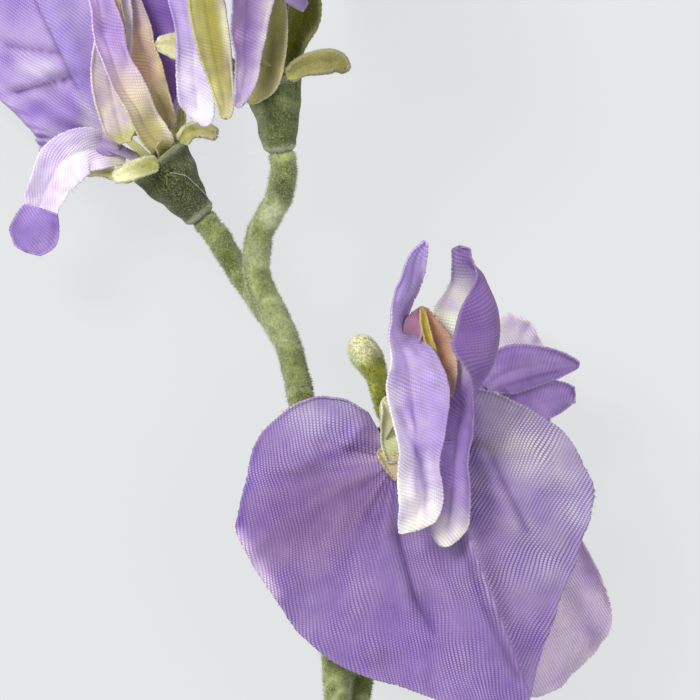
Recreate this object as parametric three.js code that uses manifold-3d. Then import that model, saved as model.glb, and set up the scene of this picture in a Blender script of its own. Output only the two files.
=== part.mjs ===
// An artificial sweet pea stem, lying on its back on a flat surface: a flocked stem on a steel
// wire, four blooms of cloth petals in flocked calyx cups, and a closed bud.
// Units are millimetres. x runs to the right, y up the stem, z up from the surface.
import * as THREE from "three";
import { mergeVertices } from "three/addons/utils/BufferGeometryUtils.js";
import Module from "manifold-3d";

const wasm = await Module();
wasm.setup();

// Driving dimensions
const STEM_RADIUS = 1.65;
const STALK_RADIUS = 1.5;
const STEM_SIDES = 10;
const STALK_SIDES = 8;
const WIRE_RADIUS = 0.7;
const BORE_RADIUS = 1.05;
const WIRE_SIDES = 6;
const WIRE_SHOWS = 1.5; // bare wire past the cut end
const PEG_RADIUS = 0.85; // the stem's end, inside a cup
const PEG_LENGTH = 2.6;
const PEG_SUNK = 1; // how far a peg reaches back into its stem
const SHOULDER = 2.2; // how far a stem runs straight before a cup
const CLOTH = 0.6; // thickness of a petal
const SEPAL_THICKNESS = 0.8;
const GAP = 0.3; // clearance between pieces that touch
const CUP_LENGTH = 8.3;
const CUP_FOOT = 1.8;
const CUP_FLARE = 0.12; // how far the rim stands out past the mouth's radius
const CUP_WALL = 0.8;
const CUP_SIDES = 14;
const COLLAR_HEIGHT = 0.6; // the ring that carries the sepals
const COLLAR_FLARE = 0.1;
const COLLAR_SIDES = 15;
const SEPAL_LEAN = 12; // degrees that a sepal leans out at its root
const SEPAL_HOLLOW = 0.22; // how hollow a sepal is, as a share of its half width
const SEPAL_STEPS = 6;
const FREE_SEPAL_STEPS = 9;
const PETAL_STEPS = 12;
const PETAL_CELLS = 4;
const RECESS = 3.2; // depth of the cup's mouth, where the petals are held
const CLAW_RADIUS = 0.42;
const CLAW_SIDES = 6;
const CLAW_STEPS = 5;
const BUD_STALK = 0.9;
const BUD_PEG = 0.45;
const BUD_PEG_LENGTH = 1.5;
const BUD_PEG_SIDES = 6;
const BUD_SIDES = 10;
const BUD_STEPS = 12;

const GREEN = { color: 0x7d9455, roughness: 0.95, metalness: 0 };
const CUP_GREEN = { color: 0x66793f, roughness: 0.95, metalness: 0 };
const LIME = { color: 0xc3cc86, roughness: 0.8, metalness: 0 };
const LILAC = { color: 0x9a7cc8, roughness: 0.7, metalness: 0 };
const PALE_LILAC = { color: 0xb9a3dc, roughness: 0.7, metalness: 0 };
const CREAM = { color: 0xd9d6a4, roughness: 0.7, metalness: 0 };
const STEEL = { color: 0x9c9c98, roughness: 0.35, metalness: 1 };

const radians = THREE.MathUtils.degToRad;
const vector = (p) => new THREE.Vector3(...p);

// A smooth line through points, or through any rows of three numbers.
const smooth = (rows) =>
  new THREE.CatmullRomCurve3(rows.map(vector), false, "catmullrom", 0.5);

// Solids

function solidOf(geometry) {
  const bare = new THREE.BufferGeometry()
    .setAttribute("position", geometry.getAttribute("position"))
    .setIndex(geometry.index);
  const merged = mergeVertices(bare, 1e-4);
  const mesh = { numProp: 3, vertProperties: merged.attributes.position.array };
  const triVerts = new Uint32Array(merged.index.array);
  const made = new wasm.Manifold(new wasm.Mesh({ ...mesh, triVerts }));
  if (made.volume() > 0) return made;
  for (let i = 0; i < triVerts.length; i += 3)
    [triVerts[i], triVerts[i + 1]] = [triVerts[i + 1], triVerts[i]];
  return new wasm.Manifold(new wasm.Mesh({ ...mesh, triVerts }));
}

function fromPoints(points, index) {
  const geometry = new THREE.BufferGeometry().setFromPoints(points);
  geometry.setIndex(index);
  return solidOf(geometry);
}

function geometryOf(solid) {
  const mesh = solid.getMesh();
  const count = mesh.numVert;
  const positions = new Float32Array(count * 3);
  for (let i = 0; i < count; i++)
    positions.set(mesh.vertProperties.subarray(i * mesh.numProp, i * mesh.numProp + 3), i * 3);
  const geometry = new THREE.BufferGeometry();
  geometry.setAttribute("position", new THREE.BufferAttribute(positions, 3));
  geometry.setIndex(new THREE.BufferAttribute(mesh.triVerts, 1));
  geometry.computeVertexNormals();
  return geometry;
}

const union = (solids) => solids.reduce((all, one) => all.add(one));

// A solid through rings of points, closed by a fan at each end.
function loft(rings) {
  const sides = rings[0].length;
  const index = [];
  for (let i = 0; i + 1 < rings.length; i++)
    for (let j = 0; j < sides; j++) {
      const [a, b] = [i * sides + j, i * sides + ((j + 1) % sides)];
      index.push(a, b, b + sides, a, b + sides, a + sides);
    }
  const last = (rings.length - 1) * sides;
  for (let j = 1; j + 1 < sides; j++) index.push(0, j + 1, j, last, last + j, last + j + 1);
  return fromPoints(rings.flat(), index);
}

// A round rod along a smooth line. Each station is x, y, z, radius, and one flat of the
// section faces away from `up`.
function rod(stations, sides, steps, up = [0, 0, 1]) {
  const line = smooth(stations.map((s) => s.slice(0, 3)));
  const size = smooth(stations.map((s) => [s[3], 0, 0]));
  const rings = [];
  for (let i = 0; i <= steps; i++) {
    const [centre, ahead] = [line.getPoint(i / steps), line.getTangent(i / steps)];
    const side = new THREE.Vector3().crossVectors(ahead, vector(up)).normalize();
    const top = new THREE.Vector3().crossVectors(side, ahead);
    const radius = size.getPoint(i / steps).x;
    rings.push(
      Array.from({ length: sides }, (_, j) => {
        const angle = ((j + 0.5) / sides) * 2 * Math.PI - Math.PI / 2;
        return centre
          .clone()
          .addScaledVector(side, Math.cos(angle) * radius)
          .addScaledVector(top, Math.sin(angle) * radius);
      }),
    );
  }
  return loft(rings);
}

// A sheet of even thickness over rows of mid-surface points. Both faces are split along the
// same diagonals, so that they never cross.
function sheet(rows, thickness) {
  const [m, n] = [rows.length, rows[0].length];
  const at = (i, j) => rows[Math.min(Math.max(i, 0), m - 1)][Math.min(Math.max(j, 0), n - 1)];
  const faces = [[], []];
  rows.forEach((row, i) =>
    row.forEach((point, j) => {
      const down = at(i + 1, j).clone().sub(at(i - 1, j));
      const over = at(i, j + 1).clone().sub(at(i, j - 1));
      const normal = down.cross(over).normalize();
      faces[0].push(point.clone().addScaledVector(normal, thickness / 2));
      faces[1].push(point.clone().addScaledVector(normal, -thickness / 2));
    }),
  );
  const index = [];
  const back = m * n;
  for (let i = 0; i + 1 < m; i++)
    for (let j = 0; j + 1 < n; j++) {
      const [a, b, c, d] = [i * n + j, i * n + j + 1, (i + 1) * n + j, (i + 1) * n + j + 1];
      index.push(a, c, d, a, d, b);
      index.push(back + a, back + d, back + c, back + a, back + b, back + d);
    }
  const rim = [];
  for (let j = 0; j < n - 1; j++) rim.push(j);
  for (let i = 0; i < m - 1; i++) rim.push(i * n + n - 1);
  for (let j = n - 1; j > 0; j--) rim.push((m - 1) * n + j);
  for (let i = m - 1; i > 0; i--) rim.push(i * n);
  rim.forEach((a, k) => {
    const b = rim[(k + 1) % rim.length];
    index.push(a, b, back + b, a, back + b, back + a);
  });
  return fromPoints(faces.flat(), index);
}

// Petals

// Rows of points of a long petal. Each station is x, y, z, then width, turn (degrees that its
// face turns away from the viewer above) and cup (how far its edges rise over its middle).
function stripRows(stations, steps, cells) {
  const line = smooth(stations.map((s) => s.slice(0, 3)));
  const form = smooth(stations.map((s) => s.slice(3, 6)));
  const viewer = new THREE.Vector3(0, 0, 1);
  const rows = [];
  for (let i = 0; i <= steps; i++) {
    const t = i / steps;
    const [centre, ahead, shape] = [line.getPoint(t), line.getTangent(t), form.getPoint(t)];
    const side = new THREE.Vector3().crossVectors(ahead, viewer).normalize();
    side.applyAxisAngle(ahead, radians(shape.y));
    const face = new THREE.Vector3().crossVectors(side, ahead);
    rows.push(
      Array.from({ length: cells + 1 }, (_, j) => {
        const v = (2 * j) / cells - 1;
        return centre
          .clone()
          .addScaledVector(side, (v * shape.x) / 2)
          .addScaledVector(face, v * v * shape.z);
      }),
    );
  }
  return rows;
}

// How high a pressed crease lifts the sheet at a point: a soft ridge along a line.
function creaseHeight(x, y, { from, to, height, width }) {
  const [dx, dy] = [to[0] - from[0], to[1] - from[1]];
  const length = Math.hypot(dx, dy);
  const along = ((x - from[0]) * dx + (y - from[1]) * dy) / length ** 2;
  const off = ((x - from[0]) * dy - (y - from[1]) * dx) / length;
  const ends =
    THREE.MathUtils.smoothstep(along, -0.15, 0.15) *
    (1 - THREE.MathUtils.smoothstep(along, 0.85, 1.15));
  return height * Math.exp(-((off / width) ** 2)) * ends;
}

// How far the sheet has dropped or risen at a point past a line through `at`. It bends over
// `soft` millimetres, then runs on at an even slope.
function slopeHeight(x, y, { at, heading, slope, soft }) {
  const [c, s] = [Math.cos(radians(heading)), Math.sin(radians(heading))];
  const past = (x - at[0]) * c + (y - at[1]) * s;
  if (past <= 0) return 0;
  return slope * (past < soft ? past ** 2 / (2 * soft) : past - soft / 2);
}

const STANDARD_STEPS = 28;
const STANDARD_RINGS = 6;

// Rows of points of a standard petal: a round sheet about its claw. Its cut is in degrees and
// millimetres about the claw, and its relief is in creases, slopes, a dish and a ruffled edge.
function standardRows(petal) {
  const cut = smooth(petal.cut.map(([angle, reach]) => [angle, reach, 0]));
  const turned = new THREE.Euler(...petal.turned.map(radians), "ZYX");
  const rows = [];
  for (let i = 0; i <= STANDARD_STEPS; i++) {
    const { x: angle, y: edge } = cut.getPoint(i / STANDARD_STEPS);
    const row = [];
    for (let j = 0; j <= STANDARD_RINGS; j++) {
      const share = j / STANDARD_RINGS;
      const reach = THREE.MathUtils.lerp(petal.hole, edge, share ** 0.9);
      const [x, y] = [reach * Math.cos(radians(angle)), reach * Math.sin(radians(angle))];
      let z = petal.dish * share * share;
      z += petal.ruffle * Math.sin(radians(angle) * petal.waves + petal.phase) * share ** 3;
      for (const crease of petal.creases) z += creaseHeight(x, y, crease);
      for (const slope of petal.slopes) z += slopeHeight(x, y, slope);
      row.push(new THREE.Vector3(x, y, z).applyEuler(turned).add(vector(petal.at)));
    }
    rows.push(row);
  }
  return rows;
}

// Calyx cups. A cup's frame has its y along the cup, from foot to mouth.

function cupFrame({ seat, axis, front = [0, 0, 1] }) {
  const y = vector(axis).normalize();
  const x = new THREE.Vector3().crossVectors(y, vector(front)).normalize();
  const z = new THREE.Vector3().crossVectors(x, y);
  const matrix = new THREE.Matrix4().makeBasis(x, y, z);
  return matrix.setPosition(vector(seat).addScaledVector(y, -CUP_LENGTH));
}

function lathed(profile, sides) {
  return solidOf(new THREE.LatheGeometry(profile.map(([r, h]) => new THREE.Vector2(r, h)), sides));
}

const placed = (solid, matrix) => solid.transform(matrix.elements);

function cup(bloom) {
  const socket = PEG_RADIUS + GAP;
  const inside = bloom.mouth - CUP_WALL;
  const outside = [0, 0.06, 0.2, 0.45, 0.7, 0.88, 1].map((share) => {
    const flare = THREE.MathUtils.smoothstep(share, -0.25, 1.15);
    return [THREE.MathUtils.lerp(CUP_FOOT, bloom.mouth + CUP_FLARE, flare), share * CUP_LENGTH];
  });
  const profile = [
    [0, PEG_LENGTH + GAP],
    [socket, PEG_LENGTH + GAP],
    [socket, 0],
    ...outside,
    [inside, CUP_LENGTH],
    [inside - 0.5, CUP_LENGTH - RECESS],
    [0, CUP_LENGTH - RECESS],
  ];
  return placed(lathed(profile, CUP_SIDES), cupFrame(bloom));
}

// One sepal in the cup's frame. It leans out from the rim, and curls as it goes.
function sepal({ side, length, width, curl, lean: root = SEPAL_LEAN }, mouth) {
  const steps = SEPAL_STEPS;
  const rows = [];
  let [out, up] = [mouth - 0.5, CUP_LENGTH + GAP + 0.2];
  for (let i = 0; i <= steps; i++) {
    const t = i / steps;
    const lean = radians(THREE.MathUtils.lerp(root, curl, t ** 0.9));
    const half = (width / 2) * (0.82 + 0.5 * t - 1.05 * t ** 4);
    const lift = [1, 0, 1].map((v) => v * SEPAL_HOLLOW * half);
    rows.push(
      [-1, 0, 1].map((v, k) => {
        const [r, h] = [out - lift[k] * Math.cos(lean), up + lift[k] * Math.sin(lean)];
        return new THREE.Vector3(v * half, h, r).applyAxisAngle(
          new THREE.Vector3(0, 1, 0),
          Math.PI / 2 - radians(side),
        );
      }),
    );
    out += (Math.sin(lean) * length) / steps;
    up += (Math.cos(lean) * length) / steps;
  }
  return sheet(rows, SEPAL_THICKNESS);
}

// A sepal that lies along its own line from the rim, given from the bloom's seat.
const freeSepal = (stations, bloom) =>
  sheet(seated(stripRows(stations, FREE_SEPAL_STEPS, 2), bloom), SEPAL_THICKNESS);

function sepals(bloom) {
  const [inner, outer] = [bloom.mouth - CUP_WALL, bloom.mouth + COLLAR_FLARE];
  const base = CUP_LENGTH + GAP;
  const top = base + COLLAR_HEIGHT;
  const collar = lathed(
    [[inner, base], [outer, base], [outer, top], [inner, top], [inner, base]],
    COLLAR_SIDES,
  );
  const all = [collar, ...bloom.sepals.map((one) => sepal(one, bloom.mouth))];
  const free = (bloom.freeSepals ?? []).map((stations) => freeSepal(stations, bloom));
  return union([placed(union(all), cupFrame(bloom)), ...free]);
}

// The narrow root of a petal, from the floor of the cup's mouth to a point in the petal.
// `side` and `front` are its place in the mouth, and `rise` is how far it runs straight out.
function claw(bloom, [side, front, rise = 1], end) {
  const frame = cupFrame(bloom);
  const inCup = (height) => new THREE.Vector3(side, height, front).applyMatrix4(frame);
  const [floor, rim] = [inCup(CUP_LENGTH - RECESS + GAP), inCup(CUP_LENGTH + rise)];
  const stations = [floor, rim, end].map((p) => [...p.toArray(), CLAW_RADIUS]);
  const up = Math.abs(end.clone().sub(floor).normalize().z) > 0.8 ? [0, 1, 0] : [0, 0, 1];
  return rod(stations, CLAW_SIDES, CLAW_STEPS, up);
}

const seated = (rows, bloom) => rows.map((row) => row.map((p) => p.add(vector(bloom.seat))));

function longPetal(bloom, petal) {
  const { stations, place, hold, steps = PETAL_STEPS, cells = PETAL_CELLS } = petal;
  const rows = seated(stripRows(stations, steps, cells), bloom);
  const end = rows[Math.round(hold * steps)][cells / 2];
  return union([sheet(rows, CLOTH), claw(bloom, place, end)]);
}

// A standard petal's claw ends in the sheet beside the claw hole. Some have a long strip as
// well: the lobe that folds down over the cup, or the base that stands up from it.
function standardPetal(bloom) {
  const petal = bloom.standard;
  const rows = seated(standardRows(petal), bloom);
  const pieces = [sheet(rows, CLOTH)];
  let end = rows[petal.hold[0]][petal.hold[1]];
  if (petal.strip) {
    const strip = seated(stripRows(petal.strip, PETAL_STEPS, PETAL_CELLS), bloom);
    pieces.push(sheet(strip, CLOTH));
    if (petal.holdStrip) end = strip[1][PETAL_CELLS / 2];
  }
  return union([...pieces, claw(bloom, petal.place, end)]);
}

// The four blooms. A seat is the middle of a cup's mouth, and petal places are from it.

const BLOOMS = {
  a: {
    seat: [-23.5, 23, 15],
    axis: [-0.62, 0.78, 0.08],
    mouth: 3.9,
    sepals: [],
    freeSepals: [
      [
        [-0.3, 0.1, 3.9, 2, 0, 0],
        [-1.8, -0.3, 5.1, 2.3, 0, 0.1],
        [-3.8, -1, 5.2, 2.2, 0, 0.1],
        [-5.6, -1.8, 4.5, 1.1, 0, 0],
      ],
      [
        [2.6, 2.6, 1.4, 1.7, 0, 0],
        [3.6, 3.9, 1.7, 1.8, 0, 0.1],
        [5.2, 4.3, 1.8, 1.9, 0, 0.1],
        [7, 3.6, 1.2, 1.2, 0, 0],
      ],
      [
        [-3.2, -1.6, -1, 1.6, 0, 0],
        [-5.2, -1.2, -2, 1.6, 0, 0.1],
        [-7.4, -0.7, -2.6, 1.6, 0, 0.1],
        [-9.2, -1.1, -3.4, 0.8, 0, 0],
      ],
      [
        [2.2, 2.4, -2.4, 2, 20, 0],
        [2, 4.2, -4.2, 2.3, 20, 0.2],
        [2.1, 6, -5, 1.9, 20, 0.2],
        [2.6, 7.6, -5.3, 0.9, 20, 0],
      ],
    ],
    standard: {
      at: [-3, 1.5, -1.2],
      turned: [0, 0, 0],
      cut: [
        [187, 10], [180.6, 11.8], [173, 12.3], [167, 13.6], [160, 17], [154, 22.5], [147, 30],
        [140, 35], [131, 35], [121, 30.5], [110, 27], [98, 24.5], [86, 22], [74, 19.6],
        [64, 13], [50, 8.3], [36, 5],
      ],
      dish: -1,
      ruffle: 0.7,
      waves: 5,
      phase: 0.6,
      creases: [
        { from: [-9, 8], to: [-16, 12], height: -1.1, width: 1.2 },
        { from: [-6, 3.5], to: [-18, 11], height: 1.2, width: 1.6 },
        { from: [-6, 10], to: [-12, 21], height: 1.1, width: 1.8 },
      ],
      slopes: [
        { at: [-4, 4], heading: 140, slope: -0.543, soft: 14 },
        { at: [2, 4], heading: 50, slope: -0.3, soft: 5 },
      ],
      strip: [
        [-4.2, 0.9, -2, 2, 0, 0.1],
        [-6.8, 1.5, -1.4, 4.2, 0, 0.3],
        [-9.4, 1.7, -0.6, 6, -10, 0.6],
        [-12.2, 0.2, -0.8, 6.2, -15, 0.9],
        [-14.2, -3.5, -2.2, 5, -15, 0.8],
        [-15.1, -6.1, -3.4, 4.5, -10, 0.2],
        [-15.8, -8.8, -4, 5.8, 0, -0.4],
        [-16.7, -10.8, -4.2, 3, 0, -0.2],
      ],
      hole: 2,
      place: [-1.3, -1],
      hold: [6, 1],
    },
    wingLeft: {
      stations: [
        [0.3, 1.5, 1.8, 1.4, 10, 0.1],
        [-0.3, 2.7, 3, 2.4, 25, 0.3],
        [-1.5, 4.4, 3.9, 4, 30, 0.6],
        [-3.2, 7.2, 4.5, 4.9, 32, 0.9],
        [-4.7, 10.2, 4.8, 4.8, 32, 0.9],
        [-5.9, 13, 4.9, 4.4, 30, 0.8],
        [-6.8, 16.5, 4.8, 4, 30, 0.7],
        [-7.5, 20.2, 4.7, 3.5, 28, 0.5],
        [-8.1, 24, 4.5, 3, 20, 0.3],
        [-8.6, 27, 4.3, 1.2, 10, 0],
      ],
      place: [0.9, 1.55],
      hold: 0.08,
    },
    wingRight: {
      stations: [
        [1.4, 4.4, -0.4, 1.5, -10, 0.1],
        [0.3, 7, 0, 3.4, -20, 0.4],
        [-1.1, 9.6, 0.3, 5.2, -25, 0.7],
        [-1.7, 12, 0.5, 5.8, -28, 0.9],
        [-2.6, 14.8, 0.5, 5.2, -28, 0.8],
        [-3.5, 17.8, 0.4, 4.4, -20, 0.6],
        [-4.2, 21, 0.2, 3.6, -15, 0.4],
        [-4.8, 24.4, 0, 1.6, -10, 0.1],
      ],
      place: [1.7, -0.2],
      hold: 0.08,
    },
    keel: {
      stations: [
        [-4.3, 2.6, 0.9, 1.2, 0, 0.1],
        [-5, 4.9, 1.3, 3.4, 5, 0.4],
        [-5.7, 7.8, 1.6, 4.9, 8, 0.7],
        [-6.2, 11.2, 1.8, 4.9, 8, 0.8],
        [-5.8, 15.4, 2, 4.6, 5, 0.7],
        [-5.4, 19.4, 2, 3.8, 5, 0.5],
        [-5.6, 23.4, 1.9, 1.6, 0, 0.1],
      ],
      place: [-0.6, 0.6],
      hold: 0.08,
    },
  },
  b: {
    seat: [-9.5, 32.7, 24],
    axis: [-0.12, 0.99, 0.1],
    mouth: 3.4,
    sepals: [
      { side: 255, length: 5.5, width: 2.4, curl: 60 },
    ],
    freeSepals: [
      [
        [1.8, 0.6, 2.4, 1.6, 0, 0],
        [3.3, 2, 2.7, 2.2, 5, 0.1],
        [5.5, 2.7, 2.7, 2.9, 5, 0.3],
        [7.7, 2.8, 2.2, 2.6, 5, 0.2],
        [9.1, 1.7, 1.6, 1, 0, 0],
      ],
      [
        [1.9, 0.6, -1.8, 1.4, -10, 0],
        [2.4, 3.6, -2, 2.4, -20, 0.2],
        [3, 5.8, -2, 3.5, -20, 0.4],
        [3.9, 8.2, -1.8, 4.2, -20, 0.6],
        [4.2, 10.8, -1.5, 4, -20, 0.6],
        [4.2, 13, -1.2, 1.8, -15, 0.1],
      ],
      [
        [-2.4, 0.6, -0.8, 1.5, 0, 0],
        [-5, 2, -1.6, 2, 0, 0.1],
        [-8.6, 3.6, -1.7, 2.6, 0, 0.2],
        [-11.8, 4.8, -1.6, 3.2, 0, 0.4],
        [-14.3, 5, -1.4, 1.4, 0, 0],
      ],
    ],
    standard: {
      hole: 2,
      at: [0.9, 12.4, -1],
      turned: [90, 0, 92],
      cut: [
        [-122, 6], [-100, 13], [-80, 18.5], [-60, 22], [-40, 25], [-20, 28], [-9, 31],
        [0, 34], [9, 31], [20, 28], [40, 25], [60, 22], [80, 18.5], [100, 13], [122, 6],
      ],
      dish: 1.6,
      ruffle: 1.1,
      waves: 6,
      phase: 2.1,
      creases: [
        { from: [6, 4], to: [24, 12], height: 1, width: 1.6 },
        { from: [6, -4], to: [22, -13], height: 0.9, width: 1.6 },
      ],
      slopes: [
        { at: [6, 3], heading: 80, slope: 0.35, soft: 8 },
        { at: [6, -3], heading: -80, slope: 0.35, soft: 8 },
        { at: [16, 0], heading: 0, slope: 0.4, soft: 12 },
      ],
      strip: [
        [-0.5, 1, -1, 1.5, 20, 0.2],
        [-0.9, 3.4, -0.9, 3.4, 25, 0.7],
        [-0.8, 6.8, -0.9, 4, 25, 0.9],
        [0, 10.2, -0.9, 3.4, 25, 0.6],
        [0.7, 13.4, -1, 2.4, 25, 0.2],
        [0.9, 15.8, -1, 1.4, 20, 0.1],
      ],
      place: [0.1, -1.3],
      hold: [13, 1],
      holdStrip: true,
    },
    wingLeft: {
      stations: [
        [-9, -5, 2.9, 2.6, 0, 0.1],
        [-9.3, -2.2, 3.1, 4.3, -5, 0.4],
        [-9.6, 1.2, 3.2, 4.3, -10, 0.6],
        [-9.8, 4.3, 3.2, 3.8, -12, 0.6],
        [-10.3, 7.6, 3.2, 3.6, -15, 0.5],
        [-11, 10.8, 3.1, 3.8, -15, 0.5],
        [-11.6, 14.2, 3, 4.2, -15, 0.5],
        [-12, 18, 2.8, 3.4, -10, 0.4],
        [-12.2, 21.4, 2.6, 1.2, 0, 0],
      ],
      place: [-1.3, 0.3],
      hold: 0.28,
    },
    wingRight: {
      stations: [
        [-4.3, -3, 6.4, 0.9, 5, 0],
        [-3.8, -1, 6.5, 2, 10, 0.2],
        [-3.3, 1.6, 6.6, 3, 15, 0.4],
        [-3.2, 4.5, 6.7, 3.8, 18, 0.6],
        [-3.1, 7.6, 6.7, 4.8, 20, 0.8],
        [-2.9, 11, 6.6, 5.9, 20, 1],
        [-3, 14.8, 6.4, 5.8, 18, 0.9],
        [-3.4, 18.4, 6.2, 4.2, 12, 0.6],
        [-3.9, 21.6, 6, 1.4, 5, 0],
      ],
      place: [0.8, 1.1],
      hold: 0.36,
    },
    keel: {
      stations: [
        [-5.7, -4.3, 5.2, 1.2, 0, 0.1],
        [-5.9, -2, 5.3, 2.3, 0, 0.3],
        [-6.5, 1.1, 5.3, 3.2, 0, 0.5],
        [-7.2, 4.4, 5.2, 4.1, 0, 0.7],
        [-7.8, 7.6, 5, 4.4, 0, 0.8],
        [-8.3, 11, 5, 4.2, 0, 0.6],
        [-8.6, 14.6, 4.9, 1.8, 0, 0.1],
      ],
      place: [-0.6, 1.25],
      hold: 0.36,
    },
  },
  c: {
    seat: [5.2, -12.6, 20],
    axis: [0.05, 0.18, 0.98],
    front: [0, 1, 0],
    mouth: 3.4,
    sepals: [
      { side: 85, length: 4, width: 2.2, lean: 60, curl: 96 },
      { side: 165, length: 4.5, width: 2.2, lean: 66, curl: 96 },
      { side: 238, length: 4.5, width: 2.2, lean: 66, curl: 96 },
      { side: 302, length: 4.5, width: 2.2, lean: 66, curl: 96 },
      { side: 20, length: 4.5, width: 2.2, lean: 66, curl: 96 },
    ],
    standard: {
      at: [0.4, -1, 3.6],
      turned: [0, 0, 0],
      cut: [
        [120, 6.7], [140, 12.2], [166, 16.4], [202, 21.2], [225, 22.2], [249, 25.6],
        [271, 27.9], [283, 31], [295, 35.5], [306, 30.2], [322, 26.4], [345, 24.9],
        [365, 22], [382, 17.4], [398, 14], [420, 9.9], [440, 6.2],
      ],
      dish: -1.2,
      ruffle: 0.5,
      waves: 5,
      phase: 1.2,
      creases: [
        { from: [9, -8.4], to: [17, -30], height: 1.6, width: 1.7 },
        { from: [10, 2], to: [15.4, -9.4], height: 0.8, width: 1.4 },
        { from: [0.6, -8.2], to: [4, -20.4], height: -1.1, width: 1.4 },
        { from: [5.4, -12], to: [9.8, -18.4], height: -0.5, width: 1.1 },
        { from: [-4, 2], to: [-15, -1], height: 0.8, width: 1.3 },
      ],
      slopes: [
        { at: [-3, 1], heading: 112, slope: -0.28, soft: 4 },
        { at: [12, -8], heading: -5, slope: -0.35, soft: 8 },
        { at: [-10, -6], heading: 205, slope: -0.3, soft: 8 },
      ],
      hole: 2.9,
      place: [-0.4, -1.3, 2.4],
      hold: [14, 1],
    },
    wingLeft: {
      stations: [
        [3, -9.6, 8.4, 4.2, 12, 0.1],
        [3.3, -6.5, 8.9, 5.8, 18, 0.6],
        [3, -2.2, 9.4, 5.4, 22, 1],
        [3.4, 2.7, 9.9, 6.2, 25, 1.3],
        [3.2, 7.2, 10.3, 8, 22, 1.4],
        [2.3, 10.7, 10.6, 7.4, 28, 1.1],
        [0.8, 13.8, 10.9, 5.4, 58, 0.4],
        [0.6, 15.6, 11.1, 4.9, 68, 0.1],
        [1, 17.6, 11.3, 4.4, 58, -0.1],
        [2.1, 20.4, 11.6, 4, 50, -0.3],
        [2.9, 23.2, 11.9, 3.4, 42, -0.3],
        [4, 26, 12.2, 1.4, 25, 0],
      ],
      steps: 17,
      place: [1.3, 0.2, 5.3],
      hold: 0.35,
    },
    wingRight: {
      stations: [
        [6.3, -11.7, 6.2, 3.4, 0, 0.2],
        [6.8, -8.4, 6.5, 5.6, -15, 0.7],
        [7.3, -4.6, 6.6, 5.6, -25, 1],
        [7.5, 0, 6.6, 5.6, -32, 1.2],
        [8.2, 5, 6.8, 7.2, -36, 1.6],
        [9.1, 9.4, 7, 9, -38, 2.2],
        [9.9, 13.4, 7.2, 10.2, -38, 2.8],
        [10, 17.6, 7.6, 9.4, -35, 2.6],
        [9.6, 20.8, 8, 5.8, -30, 1.2],
        [8.7, 23.6, 8.6, 2.9, -15, 0.2],
        [8.4, 25.3, 9, 2.4, -5, 0],
      ],
      steps: 16,
      cells: 6,
      place: [-1.3, 0.4, 5.3],
      hold: 0.33,
    },
    keel: {
      stations: [
        [2.2, 2.2, 6.2, 1.5, 0, 0.1],
        [4.2, 5, 7.2, 3, 5, 0.5],
        [5.4, 8.6, 7.5, 4.6, 10, 0.9],
        [5.3, 12.4, 7.3, 4.6, 10, 0.9],
        [4.4, 15.4, 7.8, 3.2, 5, 0.4],
        [3.4, 17.8, 8.3, 1.3, 0, 0],
      ],
      place: [0.1, 1.3, 4.6],
      hold: 0.08,
    },
  },
  d: {
    seat: [15.8, -9.3, 7.5],
    axis: [0.6, 0.8, -0.05],
    mouth: 3.4,
    sepals: [
      { side: 25, length: 4.5, width: 2.2, lean: 40, curl: 95 },
      { side: 95, length: 4.5, width: 2.2, curl: 50 },
      { side: 150, length: 5, width: 2.2, curl: 115 },
      { side: 205, length: 4.5, width: 2.2, curl: 100 },
      { side: 300, length: 3.4, width: 2, curl: 30 },
    ],
    standard: {
      hole: 2,
      at: [1.2, 0.4, -4.5],
      turned: [0, 0, 0],
      cut: [
        [98, 8], [84, 13], [74, 13.6], [65, 13.2], [56, 12], [44, 11], [26, 10.2], [4, 10],
        [-18, 11.2], [-32, 13.2], [-43, 15.6], [-50.5, 19.5], [-55, 25.5], [-61.5, 30.3],
        [-69, 32.6], [-79, 34.8], [-90, 32], [-103, 26], [-118, 20], [-134, 14],
      ],
      dish: 0,
      ruffle: 0.5,
      waves: 5,
      phase: 0.4,
      creases: [
        { from: [4, -6], to: [13, -24], height: 0.9, width: 1.6 },
        { from: [1, -8], to: [4, -26], height: 0.8, width: 1.6 },
      ],
      slopes: [
        { at: [2, -8], heading: -62, slope: -0.12, soft: 8 },
        { at: [4, 5], heading: 70, slope: 0.2, soft: 4 },
      ],
      place: [0.3, -1.3],
      hold: [5, 2],
    },
    wingLeft: {
      stations: [
        [1.2, 4.4, 2.4, 3, -10, 0.1],
        [2.6, 6, 2.8, 5.4, -10, 0.5],
        [4.8, 6.8, 3.2, 6.2, -10, 0.7],
        [7.7, 7.3, 3.4, 5, -10, 0.5],
        [10.4, 7.3, 3.2, 3.2, -10, 0.3],
        [12.4, 7.2, 3, 1, -10, 0],
      ],
      place: [-0.7, 1.15],
      hold: 0.08,
    },
    wingRight: {
      stations: [
        [3.4, 2.1, 1, 2.6, 10, 0.1],
        [6, 2.7, 1, 4, 12, 0.3],
        [8.6, 3.3, 1, 4.6, 12, 0.5],
        [10.6, 3.7, 1, 3.4, 10, 0.4],
        [12.1, 3.8, 1, 1.8, 5, 0],
      ],
      place: [1.3, 0.3],
      hold: 0.08,
    },
    keel: {
      stations: [
        [2.3, 3.6, 0.3, 1.2, 0, 0],
        [4, 5.6, 0.4, 2.8, 0, 0.5],
        [6, 7, 0.5, 3, 0, 0.5],
        [8.6, 7.8, 0.5, 1.3, 0, 0],
      ],
      steps: 10,
      place: [-0.5, -0.1],
      hold: 0.1,
    },
  },
};

// The stem and its side stalks. Each station is x, y, z, radius.

const CUT_END = -236;
const RESTING = STEM_RADIUS * Math.cos(Math.PI / STEM_SIDES); // axis height where a flat rests

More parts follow.
